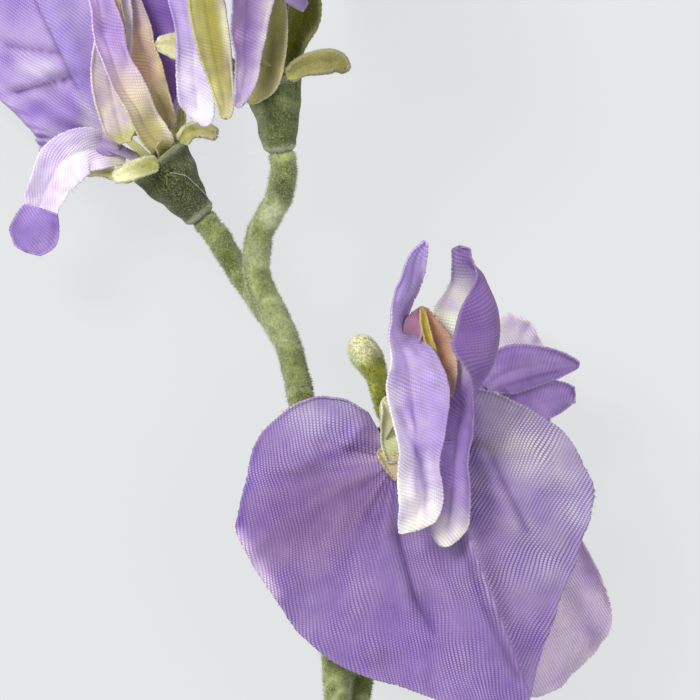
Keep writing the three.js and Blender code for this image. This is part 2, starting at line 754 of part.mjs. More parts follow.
// A stem's last stations before a cup: it runs straight to just under the cup's foot.
function intoCup(bloom, radius) {
  const frame = cupFrame(bloom);
  const on = (height, r) => [...new THREE.Vector3(0, height, 0).applyMatrix4(frame).toArray(), r];
  return [on(-GAP - SHOULDER, radius), on(-GAP, radius)];
}

// The peg that carries a cup. It starts inside the stem's end.
function peg(bloom) {
  const length = PEG_LENGTH + PEG_SUNK;
  const solid = new THREE.CylinderGeometry(PEG_RADIUS, PEG_RADIUS, length, STALK_SIDES);
  solid.translate(0, (PEG_LENGTH - PEG_SUNK - GAP) / 2, 0);
  return placed(solidOf(solid), cupFrame(bloom));
}

// The closed bud beside cup C, on a stalk of its own.
const BUD = [
  [4.3, -6.9, 14.8, 1],
  [4, -5.4, 17.2, 1.3],
  [3.2, -3.2, 19, 1.8],
  [2.2, -1, 20.2, 2.1],
  [1.3, 0.6, 20.9, 1.9],
  [0.7, 1.5, 21.3, 0.8],
];

const BUD_AHEAD = vector(BUD[1]).sub(vector(BUD[0])).normalize();
const BUD_SHOULDER = 1.2; // how far its stalk runs straight before it

// A station on the bud's own line, at a distance past its foot.
const alongBud = (way, radius) => [
  ...vector(BUD[0]).addScaledVector(BUD_AHEAD, way).toArray(),
  radius,
];

// The bud's stalk ends in a thinner peg, which stands in a hole in the bud.
function budPeg() {
  const ends = [alongBud(-PEG_SUNK, BUD_PEG), alongBud(BUD_PEG_LENGTH, BUD_PEG)];
  return rod(ends, BUD_PEG_SIDES, 1);
}

const MAIN = [
  [-2, CUT_END, RESTING, STEM_RADIUS],
  [-1.4, -214, RESTING, STEM_RADIUS],
  [-0.2, -192, RESTING, STEM_RADIUS],
  [1.2, -170, RESTING + 0.3, STEM_RADIUS],
  [2.2, -148, 3.2, STEM_RADIUS],
  [2.4, -126, 5, STEM_RADIUS],
  [1.6, -104, 7, STEM_RADIUS],
  [0.2, -82, 9.1, STEM_RADIUS],
  [-1, -60, 11.2, STEM_RADIUS],
  [-1.8, -39, 13.2, STEM_RADIUS],
  [-4, -18, 15.2, STEM_RADIUS],
  [-7.3, -0.6, 17, STEM_RADIUS],
  [-11.2, 8.4, 18.2, STEM_RADIUS],
  [-11.2, 14, 19.4, STEM_RADIUS],
  [-8.8, 18.8, 21, STEM_RADIUS],
  ...intoCup(BLOOMS.b, STEM_RADIUS),
];

const STALK_STEPS = 14;
const FORK_RADIUS = STALK_RADIUS - 0.3; // a side stalk's root, inside the main stem
const STALKS = [
  [
    [-8, 0.8, 16.6, FORK_RADIUS],
    [-10.4, 4.9, 16.4, STALK_RADIUS],
    [-13, 8.6, 15.2, STALK_RADIUS],
    ...intoCup(BLOOMS.a, STALK_RADIUS),
  ],
  [
    [0.2, -66, 10.4, FORK_RADIUS],
    [1.4, -54, 10.8, STALK_RADIUS],
    [2.4, -42, 9.4, STALK_RADIUS],
    [3.6, -29, 7, STALK_RADIUS],
    [4.6, -20, 6, STALK_RADIUS],
    ...intoCup(BLOOMS.c, STALK_RADIUS),
  ],
  [
    [4.7, -17, 8.4, BUD_STALK],
    [4.6, -11.6, 8, BUD_STALK],
    [4.5, -8, 9.6, BUD_STALK],
    alongBud(-GAP - BUD_SHOULDER, BUD_STALK),
    alongBud(-GAP, BUD_STALK),
  ],
  [
    [2.6, -38, 8.6, FORK_RADIUS],
    [4.9, -31, 7, STALK_RADIUS],
    [7.6, -24, 6.6, STALK_RADIUS],
    ...intoCup(BLOOMS.d, STALK_RADIUS),
  ],
];

const MAIN_STEPS = 64;
const WIRE_STEPS = 40;
const WIRE_END = 0.93; // share of the stem's line that the wire follows
const BORE_END = 0.935;
const BORE_RUNS_OUT = 3; // the cut for the bore starts this far outside the stem's end
const FLAT_UP = [0, 0, 1];
const STEEP_UP = [0.2, 1, 0.35]; // for the stalk that turns straight up

// The stem's own line, to a share of its length, with another radius.
function alongMain(radius, end) {
  const line = smooth(MAIN.map((s) => s.slice(0, 3)));
  const count = MAIN.length * 2;
  return Array.from({ length: count }, (_, i) => [
    ...line.getPoint((i / (count - 1)) * end).toArray(),
    radius,
  ]);
}

// The first station moved straight back past the cut end, so that a rod passes through it.
function lengthened(stations, by) {
  const [first, second] = [vector(stations[0]), vector(stations[1])];
  const back = first.clone().sub(second).normalize().multiplyScalar(by);
  return [[...first.clone().add(back).toArray(), stations[0][3]], ...stations];
}

function stem() {
  const main = rod(MAIN, STEM_SIDES, MAIN_STEPS);
  const stalks = STALKS.map((stations, i) =>
    rod(stations, STALK_SIDES, STALK_STEPS, i === 1 ? STEEP_UP : FLAT_UP),
  );
  const whole = union([main, ...stalks, budPeg(), ...Object.values(BLOOMS).map(peg)]);
  const boreLine = lengthened(alongMain(BORE_RADIUS, BORE_END), BORE_RUNS_OUT);
  return whole.subtract(rod(boreLine, WIRE_SIDES, WIRE_STEPS));
}

const wire = () =>
  rod(lengthened(alongMain(WIRE_RADIUS, WIRE_END), WIRE_SHOWS), WIRE_SIDES, WIRE_STEPS);

function bud() {
  const radius = BUD_PEG + GAP / 2;
  const hole = [alongBud(-PEG_SUNK, radius), alongBud(BUD_PEG_LENGTH + GAP, radius)];
  return rod(BUD, BUD_SIDES, BUD_STEPS, [0.3, 0.2, 1]).subtract(rod(hole, BUD_PEG_SIDES, 1));
}

const group = new THREE.Group();

function add(name, solid, material) {
  const mesh = new THREE.Mesh(geometryOf(solid), new THREE.MeshStandardMaterial(material));
  mesh.name = name;
  group.add(mesh);
}

add("stem", stem(), GREEN);
add("stem_wire", wire(), STEEL);
add("bud", bud(), GREEN);
for (const [key, bloom] of Object.entries(BLOOMS)) {
  add(`calyx_${key}`, cup(bloom), CUP_GREEN);
  add(`sepals_${key}`, sepals(bloom), LIME);
  add(`standard_${key}`, standardPetal(bloom), LILAC);
  add(`wing_left_${key}`, longPetal(bloom, bloom.wingLeft), PALE_LILAC);
  add(`wing_right_${key}`, longPetal(bloom, bloom.wingRight), PALE_LILAC);
  add(`keel_${key}`, longPetal(bloom, bloom.keel), CREAM);
}

// The origin goes to the middle of the stem's footprint, on the surface that it lies on.
const box = new THREE.Box3().setFromObject(group);
const middle = box.getCenter(new THREE.Vector3());
group.position.set(-middle.x, -middle.y, -box.min.z);

export default group;
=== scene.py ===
# An artificial sweet pea stem lying on a pale floor: a flocked stem on a steel wire, four blooms
# of woven cloth petals in flocked cups, and a closed bud. The CAD frame gives the places.
# Lengths are millimetres until a piece is made, and x, y, z are right, up the stem and off the
# floor, from a point on the floor under the middle of the picture.
import math

import bpy
import numpy as np
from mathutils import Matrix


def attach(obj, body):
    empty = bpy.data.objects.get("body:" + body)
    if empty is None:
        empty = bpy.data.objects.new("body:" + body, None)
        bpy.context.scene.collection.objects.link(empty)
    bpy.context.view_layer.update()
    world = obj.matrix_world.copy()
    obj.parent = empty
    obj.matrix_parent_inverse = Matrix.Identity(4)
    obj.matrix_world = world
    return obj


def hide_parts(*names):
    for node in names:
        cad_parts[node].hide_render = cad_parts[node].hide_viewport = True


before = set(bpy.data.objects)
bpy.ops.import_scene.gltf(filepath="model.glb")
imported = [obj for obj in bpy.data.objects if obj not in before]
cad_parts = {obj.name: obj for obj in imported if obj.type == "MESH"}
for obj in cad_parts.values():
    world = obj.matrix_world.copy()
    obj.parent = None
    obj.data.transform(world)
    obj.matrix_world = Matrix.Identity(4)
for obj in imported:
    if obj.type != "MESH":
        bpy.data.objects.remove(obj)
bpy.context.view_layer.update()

MM = 0.001
PICTURE_MIDDLE = np.array([10.85, 79.01, 0.02])  # where the picture's middle is in the frame
PICTURE_HALF = 43.2
UP = np.array([0.0, 0.0, 1.0])

# The CAD part's own dimensions
STEM_RADIUS = 1.65
STALK_RADIUS = 1.5
WIRE_RADIUS = 0.7
WIRE_SHOWS = 1.5
WIRE_END = 0.93
PEG_RADIUS = 0.85
PEG_LENGTH = 2.6
GAP = 0.3
CUP_LENGTH = 8.3
CUP_FOOT = 1.8
CUP_WALL = 0.8
RECESS = 3.2
BUD_STALK = 0.9
BUD_PEG = 0.45
BUD_PEG_LENGTH = 1.5
CUT_END = -236
RESTING = STEM_RADIUS * math.cos(math.pi / 10)

# Finish
CLOTH = 0.22  # thickness of the woven cloth
FELT = 0.5  # thickness of a sepal
RIB_PITCH = 0.42  # from one rib of the weave to the next
STITCH_PITCH = 0.29  # along a rib
FRAY = 0.035  # how unevenly a cut edge runs
CLAW_WIDTH = 0.9  # of a petal's claw, where it is glued


def srgb(red, green, blue):
    """A colour of light from the 0 to 255 values that a screen shows it with."""
    share = np.array([red, green, blue]) / 255
    return np.where(share <= 0.04045, share / 12.92, ((share + 0.055) / 1.055) ** 2.4)


# Dyes, and a deep violet for painted shade
# Deep violet, laid as painted shade in the cloth's creases and folds and under its laps
SHADE_VIOLET = srgb(112, 82, 146)
VIOLET = srgb(134, 104, 166)
LILAC = srgb(152, 126, 188)
PALE = srgb(184, 166, 208)
MIST = srgb(206, 186, 230)
WHITE = srgb(243, 239, 244)
IVORY = srgb(240, 235, 224)
BUTTER = srgb(216, 208, 164)
LIME = srgb(180, 174, 104)
FOREST = srgb(74, 80, 22)
PINK = srgb(178, 130, 160)
MOSS = srgb(96, 106, 58)
FROST = srgb(208, 210, 186)

# Flock: of the cups, the stem, the bud and the sepals
PALE_FLOCK = (0.45, 0.48, 0.21, 1.0)
SEPAL_ROOT = srgb(150, 150, 84)
CUP_SHADES = (srgb(60, 68, 30), srgb(82, 91, 50), srgb(68, 77, 38), srgb(98, 105, 66))
# The paler green that a cup's left side is painted with, as painted light
LIT_CUP = srgb(158, 166, 128)
STEM_SHADES = (srgb(92, 101, 46), srgb(122, 131, 76), srgb(150, 158, 108), srgb(104, 113, 58))
BUD_SHADES = (srgb(130, 144, 20), srgb(204, 208, 82), srgb(134, 146, 30))
# The paler green of the bud's left side: painted light
BUD_LIT_SIDE = srgb(190, 192, 130)
BUD_TIP = srgb(226, 224, 186)
LINT = srgb(214, 216, 212)
STEM_TIP, CUP_TIP = srgb(236, 238, 220), srgb(222, 225, 204)  # the pale ends of the flock
SEPAL_FUZZ, BUD_FUZZ = srgb(236, 234, 205), srgb(232, 232, 204)
SEPAL_TIPS = {
    "a": [srgb(228, 223, 180), srgb(182, 174, 120), srgb(206, 204, 150), srgb(190, 188, 120)],
    "b": [srgb(226, 222, 180), srgb(130, 124, 72), srgb(98, 102, 6), srgb(214, 208, 160)],
    "c": [srgb(196, 190, 140)] * 5,
    "d": [srgb(196, 190, 140)] * 5,
}
DARK_SEPAL = 0.5  # a sepal whose three shares of light come to less is dark all along

# How much painted light pales a cup's left side, and its tone
CUP_TONES = {"a": (0, 0.4), "b": (0.75, 0.9), "c": (0, 0.8), "d": (0, 0.8)}

# Dabs on the stem are x, y, reach, colour and strength: the dark ones are painted shade where the stem and
# stalks are shaded, the pale ones painted light where it is lit
STEM_LIGHT_AND_SHADE = [
    (-8.4, 20.4, 2.6, srgb(64, 72, 26), 0.8), (2.4, -41.6, 1.5, srgb(80, 106, 8), 0.9),
    (-15, 12, 3.2, srgb(60, 72, 14), 0.8), (-9.6, 16.6, 1.5, srgb(196, 200, 172), 0.65),
    (-11.6, 12, 2, srgb(166, 172, 132), 0.5), (-8.6, 3.8, 4, srgb(168, 176, 130), 0.55),
    (-6, -3, 2.5, srgb(112, 120, 70), 0.5),
]

# How finely the pieces are built, and some small sizes of theirs
GRIDS = {"a": (150, 30), "b": (130, 26), "c": (180, 36), "d": (110, 24)}  # of a long petal: along, across
STANDARD_GRID = (430, 44)  # of a standard, unless its look says: round it, and out from its claw
HOLD_COLUMNS, HOLD_RINGS = 28, 6  # the grid that a standard's hold counts in
CUP_SIDES, RING_SIDES, BUD_SIDES = 84, 60, 40
NEAR_CUPS = "ab"  # cups in plain view, which have the thicker flock
RIM_HEIGHT = 0.9  # how far a cup's rim stands round the sepals' roots
STEM_VOXEL = 0.34
STEM_STEPS, STALK_STEPS = 420, 90
STEM_SIDES, PEG_SIDES, WIRE_SIDES = 22, 12, 20
TILTED = np.array([0.3, 0.2, 1.0])  # a way up for tubes that may run straight up
STEEP_STALK, STEEP_UP = 2, np.array([0.2, 1.0, 0.35])  # the second stalk, and its way up
SLIP_GRID, SEPAL_GRID, FREE_SEPAL_GRID = (80, 18), (26, 10), (44, 12)
NEAR_FLOCK, FAR_FLOCK = 44, 10  # hairs to a square millimetre of a cup
STANDARD_CLAW, WING_CLAW = 2.2, 1.2  # how wide a claw is where it meets its petal
EDGE_RUN, RIM_RUN = 190, 170  # how far ripples count a standard's edge to run


# The four blooms, in millimetres. A seat is the middle of a cup's mouth, and petal places are from
# it. A station of a petal is x, y, z, width, turn and cup. A standard is a sheet cut round its claw:
# a cut is a heading and a radius, a crease is its line (x, y, x, y), height and width, and a slope is
# its place (x, y), heading, steepness and the length over which it bends. A place is where a claw
# stands in the cup, and a hold is where the claw meets the petal.

BLOOMS = {
    "a": {
        "seat": [-23.5, 23, 15], "axis": [-0.62, 0.78, 0.08], "mouth": 3.9, "sepals": [],
        "freeSepals": [
            [
                [-0.3, 0.1, 3.9, 2, 0, 0], [-1.8, -0.3, 5.1, 2.3, 0, 0.1], [-3.8, -1, 5.2, 2.2, 0, 0.1],
                [-5.6, -1.8, 4.5, 1.1, 0, 0],
            ],
            [
                [2.6, 2.6, 1.4, 1.7, 0, 0], [3.6, 3.9, 1.7, 1.8, 0, 0.1], [5.2, 4.3, 1.8, 1.9, 0, 0.1],
                [7, 3.6, 1.2, 1.2, 0, 0],
            ],
            [
                [-3.2, -1.6, -1, 1.6, 0, 0], [-5.2, -1.2, -2, 1.6, 0, 0.1], [-7.4, -0.7, -2.6, 1.6, 0, 0.1],
                [-9.2, -1.1, -3.4, 0.8, 0, 0],
            ],
            [
                [2.2, 2.4, -2.4, 2, 20, 0], [2, 4.2, -4.2, 2.3, 20, 0.2], [2.1, 6, -5, 1.9, 20, 0.2],
                [2.6, 7.6, -5.3, 0.9, 20, 0],
            ],
        ],
        "standard": {
            "at": [-3, 1.5, -1.2], "turned": [0, 0, 0],
            "cut": [
                [187, 10], [180.6, 11.8], [173, 12.3], [167, 13.6], [160, 17], [154, 22.5], [147, 30],
                [140, 35], [131, 35], [121, 30.5], [110, 27], [98, 24.5], [86, 22], [74, 19.6], [64, 13],
                [50, 8.3], [36, 5],
            ],
            "dish": -1, "ruffle": 0.7, "waves": 5, "phase": 0.6,
            "creases": [
                [-9, 8, -16, 12, -1.1, 1.2], [-6, 3.5, -18, 11, 1.2, 1.6], [-6, 10, -12, 21, 1.1, 1.8],
            ],
            "slopes": [[-4, 4, 140, -0.543, 14], [2, 4, 50, -0.3, 5]],
            "strip": [
                [-4.2, 0.9, -2, 2, 0, 0.1], [-6.8, 1.5, -1.4, 4.2, 0, 0.3], [-9.4, 1.7, -0.6, 6, -10, 0.6],
                [-12.2, 0.2, -0.8, 6.2, -15, 0.9], [-14.2, -3.5, -2.2, 5, -15, 0.8],
                [-15.1, -6.1, -3.4, 4.5, -10, 0.2], [-15.8, -8.8, -4, 5.8, 0, -0.4],
                [-16.7, -10.8, -4.2, 3, 0, -0.2],
            ],
            "hole": 2, "place": [-1.3, -1], "hold": [6, 1],
        },
        "wingLeft": {
            "stations": [
                [0.3, 1.5, 1.8, 1.4, 10, 0.1], [-0.3, 2.7, 3, 2.4, 25, 0.3], [-1.5, 4.4, 3.9, 4, 30, 0.6],
                [-3.2, 7.2, 4.5, 4.9, 32, 0.9], [-4.7, 10.2, 4.8, 4.8, 32, 0.9],
                [-5.9, 13, 4.9, 4.4, 30, 0.8], [-6.8, 16.5, 4.8, 4, 30, 0.7],
                [-7.5, 20.2, 4.7, 3.5, 28, 0.5], [-8.1, 24, 4.5, 3, 20, 0.3], [-8.6, 27, 4.3, 1.2, 10, 0],
            ],
            "place": [0.9, 1.55], "hold": 0.08,
        },
        "wingRight": {
            "stations": [
                [1.4, 4.4, -0.4, 1.5, -10, 0.1], [0.3, 7, 0, 3.4, -20, 0.4],
                [-1.1, 9.6, 0.3, 5.2, -25, 0.7], [-1.7, 12, 0.5, 5.8, -28, 0.9],
                [-2.6, 14.8, 0.5, 5.2, -28, 0.8], [-3.5, 17.8, 0.4, 4.4, -20, 0.6],
                [-4.2, 21, 0.2, 3.6, -15, 0.4], [-4.8, 24.4, 0, 1.6, -10, 0.1],
            ],
            "place": [1.7, -0.2], "hold": 0.08,
        },
        "keel": {
            "stations": [
                [-4.3, 2.6, 0.9, 1.2, 0, 0.1], [-5, 4.9, 1.3, 3.4, 5, 0.4], [-5.7, 7.8, 1.6, 4.9, 8, 0.7],
                [-6.2, 11.2, 1.8, 4.9, 8, 0.8], [-5.8, 15.4, 2, 4.6, 5, 0.7], [-5.4, 19.4, 2, 3.8, 5, 0.5],
                [-5.6, 23.4, 1.9, 1.6, 0, 0.1],
            ],
            "place": [-0.6, 0.6], "hold": 0.08,
        },
    },
    "b": {
        "seat": [-9.5, 32.7, 24], "axis": [-0.12, 0.99, 0.1], "mouth": 3.4,
        "sepals": [{"side": 255, "length": 5.5, "width": 2.4, "curl": 60}],
        "freeSepals": [
            [
                [1.8, 0.6, 2.4, 1.6, 0, 0], [3.3, 2, 2.7, 2.2, 5, 0.1], [5.5, 2.7, 2.7, 2.9, 5, 0.3],
                [7.7, 2.8, 2.2, 2.6, 5, 0.2], [9.1, 1.7, 1.6, 1, 0, 0],
            ],
            [
                [1.9, 0.6, -1.8, 1.4, -10, 0], [2.4, 3.6, -2, 2.4, -20, 0.2], [3, 5.8, -2, 3.5, -20, 0.4],
                [3.9, 8.2, -1.8, 4.2, -20, 0.6], [4.2, 10.8, -1.5, 4, -20, 0.6],
                [4.2, 13, -1.2, 1.8, -15, 0.1],
            ],
            [
                [-2.4, 0.6, -0.8, 1.5, 0, 0], [-5, 2, -1.6, 2, 0, 0.1], [-8.6, 3.6, -1.7, 2.6, 0, 0.2],
                [-11.8, 4.8, -1.6, 3.2, 0, 0.4], [-14.3, 5, -1.4, 1.4, 0, 0],
            ],
        ],
        "standard": {
            "hole": 2, "at": [0.9, 12.4, -1], "turned": [90, 0, 92],
            "cut": [
                [-122, 6], [-100, 13], [-80, 18.5], [-60, 22], [-40, 25], [-20, 28], [-9, 31], [0, 34],
                [9, 31], [20, 28], [40, 25], [60, 22], [80, 18.5], [100, 13], [122, 6],
            ],
            "dish": 1.6, "ruffle": 1.1, "waves": 6, "phase": 2.1,
            "creases": [[6, 4, 24, 12, 1, 1.6], [6, -4, 22, -13, 0.9, 1.6]],
            "slopes": [[6, 3, 80, 0.35, 8], [6, -3, -80, 0.35, 8], [16, 0, 0, 0.4, 12]],
            "strip": [
                [-0.5, 1, -1, 1.5, 20, 0.2], [-0.9, 3.4, -0.9, 3.4, 25, 0.7], [-0.8, 6.8, -0.9, 4, 25, 0.9],
                [0, 10.2, -0.9, 3.4, 25, 0.6], [0.7, 13.4, -1, 2.4, 25, 0.2], [0.9, 15.8, -1, 1.4, 20, 0.1],
            ],
            "place": [0.1, -1.3], "hold": [13, 1], "holdStrip": True,
        },
        "wingLeft": {
            "stations": [
                [-9, -5, 2.9, 2.6, 0, 0.1], [-9.3, -2.2, 3.1, 4.3, -5, 0.4],
                [-9.6, 1.2, 3.2, 4.3, -10, 0.6], [-9.8, 4.3, 3.2, 3.8, -12, 0.6],
                [-10.3, 7.6, 3.2, 3.6, -15, 0.5], [-11, 10.8, 3.1, 3.8, -15, 0.5],
                [-11.6, 14.2, 3, 4.2, -15, 0.5], [-12, 18, 2.8, 3.4, -10, 0.4],
                [-12.2, 21.4, 2.6, 1.2, 0, 0],
            ],
            "place": [-1.3, 0.3], "hold": 0.28,
        },
        "wingRight": {
            "stations": [
                [-4.3, -3, 6.4, 0.9, 5, 0], [-3.8, -1, 6.5, 2, 10, 0.2], [-3.3, 1.6, 6.6, 3, 15, 0.4],
                [-3.2, 4.5, 6.7, 3.8, 18, 0.6], [-3.1, 7.6, 6.7, 4.8, 20, 0.8], [-2.9, 11, 6.6, 5.9, 20, 1],
                [-3, 14.8, 6.4, 5.8, 18, 0.9], [-3.4, 18.4, 6.2, 4.2, 12, 0.6], [-3.9, 21.6, 6, 1.4, 5, 0],
            ],
            "place": [0.8, 1.1], "hold": 0.36,
        },
        "keel": {
            "stations": [
                [-5.7, -4.3, 5.2, 1.2, 0, 0.1], [-5.9, -2, 5.3, 2.3, 0, 0.3], [-6.5, 1.1, 5.3, 3.2, 0, 0.5],
                [-7.2, 4.4, 5.2, 4.1, 0, 0.7], [-7.8, 7.6, 5, 4.4, 0, 0.8], [-8.3, 11, 5, 4.2, 0, 0.6],
                [-8.6, 14.6, 4.9, 1.8, 0, 0.1],
            ],
            "place": [-0.6, 1.25], "hold": 0.36,
        },
    },
    "c": {
        "seat": [5.2, -12.6, 20], "axis": [0.05, 0.18, 0.98], "front": [0, 1, 0], "mouth": 3.4,
        "sepals": [
            {"side": 85, "length": 4, "width": 2.2, "lean": 60, "curl": 96},
            {"side": 165, "length": 4.5, "width": 2.2, "lean": 66, "curl": 96},
            {"side": 238, "length": 4.5, "width": 2.2, "lean": 66, "curl": 96},
            {"side": 302, "length": 4.5, "width": 2.2, "lean": 66, "curl": 96},
            {"side": 20, "length": 4.5, "width": 2.2, "lean": 66, "curl": 96},
        ],
        "standard": {
            "at": [0.4, -1, 3.6], "turned": [0, 0, 0],
            "cut": [
                [120, 6.7], [140, 12.2], [166, 16.4], [202, 21.2], [225, 22.2], [249, 25.6], [271, 27.9],
                [283, 31], [295, 35.5], [306, 30.2], [322, 26.4], [345, 24.9], [365, 22], [382, 17.4],
                [398, 14], [420, 9.9], [440, 6.2],
            ],
            "dish": -1.2, "ruffle": 0.5, "waves": 5, "phase": 1.2,
            "creases": [
                [9, -8.4, 17, -30, 1.6, 1.7], [10, 2, 15.4, -9.4, 0.8, 1.4],
                [0.6, -8.2, 4, -20.4, -1.1, 1.4], [5.4, -12, 9.8, -18.4, -0.5, 1.1],
                [-4, 2, -15, -1, 0.8, 1.3],
            ],
            "slopes": [[-3, 1, 112, -0.28, 4], [12, -8, -5, -0.35, 8], [-10, -6, 205, -0.3, 8]],
            "hole": 2.9, "place": [-0.4, -1.3, 2.4], "hold": [14, 1],
        },
        "wingLeft": {
            "stations": [
                [3, -9.6, 8.4, 4.2, 12, 0.1], [3.3, -6.5, 8.9, 5.8, 18, 0.6], [2.85, -2.2, 9.4, 5.7, 22, 1],
                [2.85, 2.7, 9.9, 6.8, 25, 1.3], [2.55, 7.2, 10.3, 8.1, 22, 1.4],
                [1.9, 10.7, 10.6, 7.4, 28, 1.1], [0.8, 13.8, 10.9, 5.4, 58, 0.4],
                [0.6, 15.6, 11.1, 4.9, 68, 0.1], [1, 17.6, 11.3, 4.4, 58, -0.1],
                [2.1, 20.4, 11.6, 4, 50, -0.3], [2.9, 23.2, 11.9, 3.4, 42, -0.3], [4, 26, 12.2, 1.4, 25, 0],
            ],
            "place": [1.3, 0.2, 5.3], "hold": 0.35,
        },
        "wingRight": {
            "stations": [
                [6.3, -11.7, 6.2, 3.4, 0, 0.2], [6.8, -8.4, 6.5, 5.6, -15, 0.7],
                [7.3, -4.6, 6.6, 5.6, -25, 1], [7.5, 0, 6.6, 5.6, -32, 1.2], [8.2, 5, 6.8, 7.2, -36, 1.6],
                [9.1, 9.4, 7, 9, -38, 2.2], [9.9, 13.4, 7.2, 10.2, -38, 2.8],
                [10, 17.6, 7.6, 9.4, -35, 2.6], [9.6, 20.8, 8, 5.8, -30, 1.2],
                [8.7, 23.6, 8.6, 2.9, -15, 0.2], [8.4, 25.3, 9, 2.4, -5, 0],
            ],
            "place": [-1.3, 0.4, 5.3], "hold": 0.33,
        },
        "keel": {
            "stations": [
                [2.2, 2.2, 6.2, 1.5, 0, 0.1], [4.2, 5, 7.2, 3, 5, 0.5], [5.4, 8.6, 7.5, 4.6, 10, 0.9],
                [5.3, 12.4, 7.3, 4.6, 10, 0.9], [4.4, 15.4, 7.8, 3.2, 5, 0.4], [3.4, 17.8, 8.3, 1.3, 0, 0],
            ],
            "place": [0.1, 1.3, 4.6], "hold": 0.08,
        },
    },
    "d": {
        "seat": [15.8, -9.3, 7.5], "axis": [0.6, 0.8, -0.05], "mouth": 3.4,
        "sepals": [
            {"side": 25, "length": 4.5, "width": 2.2, "lean": 40, "curl": 95},
            {"side": 95, "length": 4.5, "width": 2.2, "curl": 50},
            {"side": 150, "length": 5, "width": 2.2, "curl": 115},
            {"side": 205, "length": 4.5, "width": 2.2, "curl": 100},
            {"side": 300, "length": 3.4, "width": 2, "curl": 30},
        ],
        "standard": {
            "hole": 2, "at": [1.2, 0.4, -4.5], "turned": [0, 0, 0],
            "cut": [
                [98, 8], [84, 13], [74, 13.6], [65, 13.2], [56, 12], [44, 11], [26, 10.2], [4, 10],
                [-18, 11.2], [-32, 13.2], [-43, 15.6], [-50.5, 19.5], [-55, 25.5], [-61.5, 30.3],
                [-69, 32.6], [-79, 34.8], [-90, 32], [-103, 26], [-118, 20], [-134, 14],
            ],
            "dish": 0, "ruffle": 0.5, "waves": 5, "phase": 0.4,
            "creases": [[4, -6, 13, -24, 0.9, 1.6], [1, -8, 4, -26, 0.8, 1.6]],
            "slopes": [[2, -8, -62, -0.12, 8], [4, 5, 70, 0.2, 4]], "place": [0.3, -1.3], "hold": [5, 2],
        },
        "wingLeft": {
            "stations": [
                [1.2, 4.4, 2.4, 3, -10, 0.1], [2.6, 6, 2.8, 5.4, -10, 0.5], [4.8, 6.8, 3.2, 6.2, -10, 0.7],
                [7.7, 7.3, 3.4, 5, -10, 0.5], [10.5, 7.5, 3.2, 2.9, -10, 0.3], [12.6, 7.5, 3, 0.5, -10, 0],
            ],
            "place": [-0.7, 1.15], "hold": 0.08,
        },
        "wingRight": {
            "stations": [
                [3.4, 2.1, 1, 2.6, 10, 0.1], [6, 2.7, 1, 4, 12, 0.3], [8.6, 3.3, 1, 4.6, 12, 0.5],
                [10.6, 3.7, 1, 3.4, 10, 0.4], [12.1, 3.8, 1, 1.8, 5, 0],
            ],
            "place": [1.3, 0.3], "hold": 0.08,
        },
        "keel": {
            "stations": [
                [2.3, 3.6, 0.3, 1.2, 0, 0], [4, 5.6, 0.4, 2.8, 0, 0.5], [6, 7, 0.5, 3, 0, 0.5],
                [8.6, 7.8, 0.5, 1.3, 0, 0],
            ],
            "place": [-0.5, -0.1], "hold": 0.1,
        },
    },
}


# Lines and noise


def unit(v):
    return v / np.maximum(np.linalg.norm(v, axis=-1, keepdims=True), 1e-12)


def smoothstep(x, low, high):
    share = np.clip((x - low) / (high - low), 0, 1)
    return share * share * (3 - 2 * share)


def bell(x):
    """1 where x is 0, and next to nothing where x is past 2."""
    return np.exp(-(x**2))


def blend(first, second, share):
    """A mix of two values: all of the second where share is 1."""
    return first * (1 - share) + second * share


def round_about(sides):
    """The angles of the sides of a ring."""
    return np.arange(sides) / sides * 2 * math.pi


def run_along(points):
    """How far each point is along a line of points."""
    return np.concatenate(([0], np.cumsum(np.linalg.norm(np.diff(points, axis=0), axis=1))))


def smooth(rows, t):
    """Points at shares t of a smooth line through rows of numbers."""
    rows = np.asarray(rows, float)
    place = np.clip(np.atleast_1d(t), 0, 1) * (len(rows) - 1)
    i = np.clip(np.floor(place).astype(int), 0, len(rows) - 2)
    w = (place - i)[:, None]
    ends = np.vstack((2 * rows[0] - rows[1], rows, 2 * rows[-1] - rows[-2]))
    p0, p1, p2, p3 = (ends[i + k] for k in range(4))
    t0, t1 = (p2 - p0) / 2, (p3 - p1) / 2
    cubic = (2 * p1 - 2 * p2 + t0 + t1) * w**3 + (3 * p2 - 3 * p1 - 2 * t0 - t1) * w**2
    return cubic + t0 * w + p1


def ahead_of(rows, t):
    step = 1e-3
    return unit(smooth(rows, np.minimum(t + step, 1)) - smooth(rows, np.maximum(t - step, 0)))


def turned(vectors, axes, degrees):
    """Vectors turned about axes that are square to them."""
    angle = np.radians(degrees)[:, None]
    return vectors * np.cos(angle) + np.cross(axes, vectors) * np.sin(angle)


def ripple(u, v, size, seed):
    """Smooth noise between about -1 and 1, with bumps about `size` across."""
    rng = np.random.default_rng(seed)
    total = np.zeros(np.broadcast(u, v).shape)
    waves = 14
    for _ in range(waves):
        heading, phase = rng.uniform(0, 2 * math.pi, 2)
        pace = rng.uniform(0.6, 1.4) * math.pi / size
        total += np.cos((u * math.cos(heading) + v * math.sin(heading)) * pace + phase)
    return total / math.sqrt(waves / 2) / 1.4


# Meshes


class Shape:
    """A mesh in the making: points with a colour (dye, and painted shade and light in places) and a place on
    the flat cloth, and faces.
    """

    def __init__(self):
        self.points, self.dyes, self.flats, self.faces, self.count = [], [], [], [], 0

    def add(self, points, dyes, flats, faces):
        points = np.asarray(points, float).reshape(-1, 3)
        self.points.append(points)
        self.dyes.append(np.broadcast_to(dyes, (len(points), 3)))
        self.flats.append(np.broadcast_to(flats, (len(points), 2)))
        self.faces += (np.asarray(faces) + self.count).tolist()
        self.count += len(points)

    def joined(self):
        return (np.vstack(self.points), np.vstack(self.dyes), np.vstack(self.flats))


